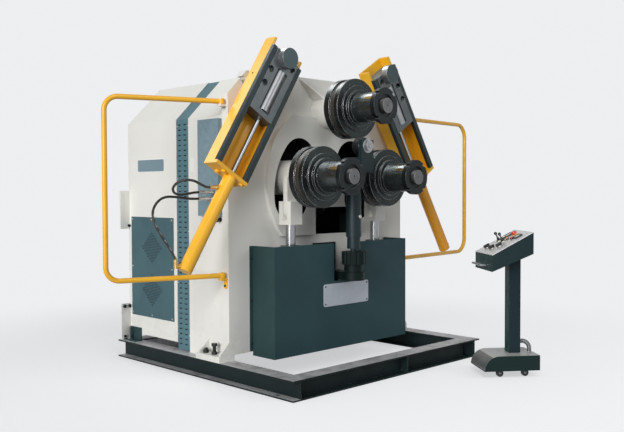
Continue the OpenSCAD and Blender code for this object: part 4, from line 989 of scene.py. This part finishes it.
def make_console_fittings():
    estop = bmesh.new()
    lathe(estop, panel_frame(*STOP_AT),
          [(0.0070, -0.018), (0.0070, 0.008), (0.0205, 0.0085), (0.0235, 0.012), (0.0235, 0.0205),
           (0.0205, 0.0255), (0.012, 0.0280), (0.003, 0.0285)], 36)
    mushroom = piece("stop_mushroom", estop, red_plastic, "stop_button")
    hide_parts("emergency_stop")
    collar = bmesh.new()
    lathe(collar, panel_frame(*STOP_AT),
          [(0.030, 0), (0.030, 0.0010), (0.028, 0.0015), (0.0095, 0.0015), (0.0095, 0.0005)], 36)
    piece("stop_collar", collar, yellow, "console")

    for i, (a, b) in enumerate(JOYSTICKS_AT):
        ring, boot = bmesh.new(), bmesh.new()
        lathe(ring, panel_frame(a, b),
              [(0.027, 0), (0.027, 0.003), (0.025, 0.005), (0.0195, 0.005), (0.0195, 0.001)], 32)
        piece("joystick_ring_%d" % (i + 1), ring, plated, "console")
        folds = [(0.0125, 0.0105), (0.0148, 0.0125), (0.0115, 0.0165), (0.0132, 0.0185), (0.0102, 0.0225),
                 (0.0116, 0.0245), (0.0090, 0.0285), (0.0100, 0.0305), (0.0075, 0.0350)]
        lathe(boot, panel_frame(a, b), folds, 24)
        piece("joystick_boot_%d" % (i + 1), boot, black_plastic, "joystick_%d" % (i + 1))

    for i, (a, b) in enumerate(SWITCHES_AT):
        bezel, mark = bmesh.new(), bmesh.new()
        lathe(bezel, panel_frame(a, b),
              [(0.0225, 0), (0.0225, 0.002), (0.021, 0.0035), (0.0192, 0.0035), (0.0192, 0.0002)], 32)
        piece("switch_bezel_%d" % (i + 1), bezel, plated, "console")
        at = panel_frame(a, b, SWITCH_H) @ Matrix.Translation((0.014, 0, 0))
        slab(mark, at, 0.018, 0.003, 0.0006, 0.001, 0.0002)
        piece("switch_mark_%d" % (i + 1), mark, white_plate, "switch_%d" % (i + 1))

    glass = bmesh.new()
    for a, b in DISPLAYS_AT:
        slab(glass, panel_frame(a, b, GLASS_H), *GLASS_SIZE, 0.0015, 0.002, 0.0004)
    piece("display_glass", glass, screen_glass, "console")
    for name, a, b, lens in LAMPS:
        dome = bmesh.new()
        lathe(dome, panel_frame(a, b, LAMP_H),
              [(0.0115, 0), (0.0115, 0.004), (0.0100, 0.0075), (0.0060, 0.0098), (0.0015, 0.0105)], 28)
        piece(name, dome, lens, "console")
    screws = bmesh.new()
    for a in PANEL_SCREWS_A:
        for b in PANEL_SCREWS_B:
            pan_head(screws, panel_frame(a, b), 0.010)
    piece("panel_screws", screws, plated, "console")

    ends = bmesh.new()
    for v in (-HANDLE_V, HANDLE_V):
        at = CONSOLE_AT + BOX_U0 * CON_U + v * CON_V + HANDLE_Z * Z
        lathe(ends, frame_at(at, CON_V, Z),
              [(0.016, 0), (0.016, 0.010), (0.013, 0.022), (0.0094, 0.022)], 24)
    piece("handle_ends", ends, black_plastic, "console")


def make_conduit():
    """Flexible conduit with pressed rings, from the post down into the base."""
    r, bend, out, drop, start_u, start_z = 0.019, 0.066, 0.033, 0.026, 0.105, 0.274
    groove, gland = 0.0016, 0.003
    line = [(out * k / 4, 0.0) for k in range(4)]
    line += [(out + bend * math.sin(t), -bend + bend * math.cos(t))
             for t in (math.pi / 2 * k / 30 for k in range(31))]
    line += [(out + bend, -bend - drop * k / 6) for k in range(1, 7)]
    bm, rings, steps = bmesh.new(), [], 20
    for i, (u, z) in enumerate(line):
        a, b = line[max(i - 1, 0)], line[min(i + 1, len(line) - 1)]
        ahead = ((b[0] - a[0]) * CON_U + (b[1] - a[1]) * Z).normalized()
        over = CON_V.cross(ahead)
        at = CONSOLE_AT + (start_u + u) * CON_U + (start_z + z) * Z
        thick = r - (groove if i % 2 else 0.0)
        if i < 3:
            thick = r + gland
        turn = [2 * math.pi * k / steps for k in range(steps)]
        rings.append([bm.verts.new(at + thick * (math.cos(t) * CON_V + math.sin(t) * over)) for t in turn])
    for low, high in zip(rings, rings[1:]):
        bridge(bm, low, high)
    bm.faces.new(rings[0][::-1])
    bm.faces.new(rings[-1])
    conduit = piece("ribbed_conduit", bm, conduit_grey, "console")
    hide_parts("console_conduit")


def make_wheel_hubs():
    axle_z, wheel_face, hub_r, axles_u = 0.030, 0.139, 0.011, (-0.105, 0.115)
    profile = [(hub_r, -0.002), (hub_r, 0.002), (hub_r * 0.7, 0.004), (hub_r * 0.3, 0.004)]
    for i, u in enumerate(axles_u):
        hubs = bmesh.new()
        for side in SIDES:
            at = frame_at(CONSOLE_AT + u * CON_U + side * wheel_face * CON_V + axle_z * Z, -side * CON_U, Z)
            lathe(hubs, at, profile, 20)
        piece("wheel_hubs_%d" % (i + 1), hubs, conduit_grey, "wheels_%d" % (i + 1))


make_access_fittings()
make_vent_fittings()
make_blank_plates()
make_side_hardware()
make_roll_brass_streaks()
make_post_fittings()
make_guide_bolts()
make_console_fittings()
make_conduit()
make_wheel_hubs()

bpy.context.view_layer.update()


# Linked lamps: the sun lights the part but not the floor, three of the boxes only some solids
METALS = ["upper_roll", "upper_nut", "left_nut", "right_nut", "upper_shaft", "left_shaft", "right_shaft",
          "center_roll", "left_rod", "right_rod", "left_carriage", "right_carriage", "left_face_roll",
          "right_face_roll", "left_pin_roll", "right_pin_roll", "guide_rails"]


def light_only(light, objects, shadow=True):
    lit = bpy.data.collections.new("lit_by_" + light.name)
    for obj in objects:
        lit.objects.link(obj)
    light.light_linking.receiver_collection = lit
    light.data.use_shadow = shadow
    return lit


light_only(left_light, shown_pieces())
light_only(streak_box, [CAD[node] for node in METALS], shadow=False)
light_only(sleeve_box, [CAD["left_roll"], CAD["right_roll"]], shadow=False)
sheened = light_only(sheen_box, [CAD["guide_frames"], CAD["guide_cylinders"]])
sheen_box.light_linking.blocker_collection = sheened
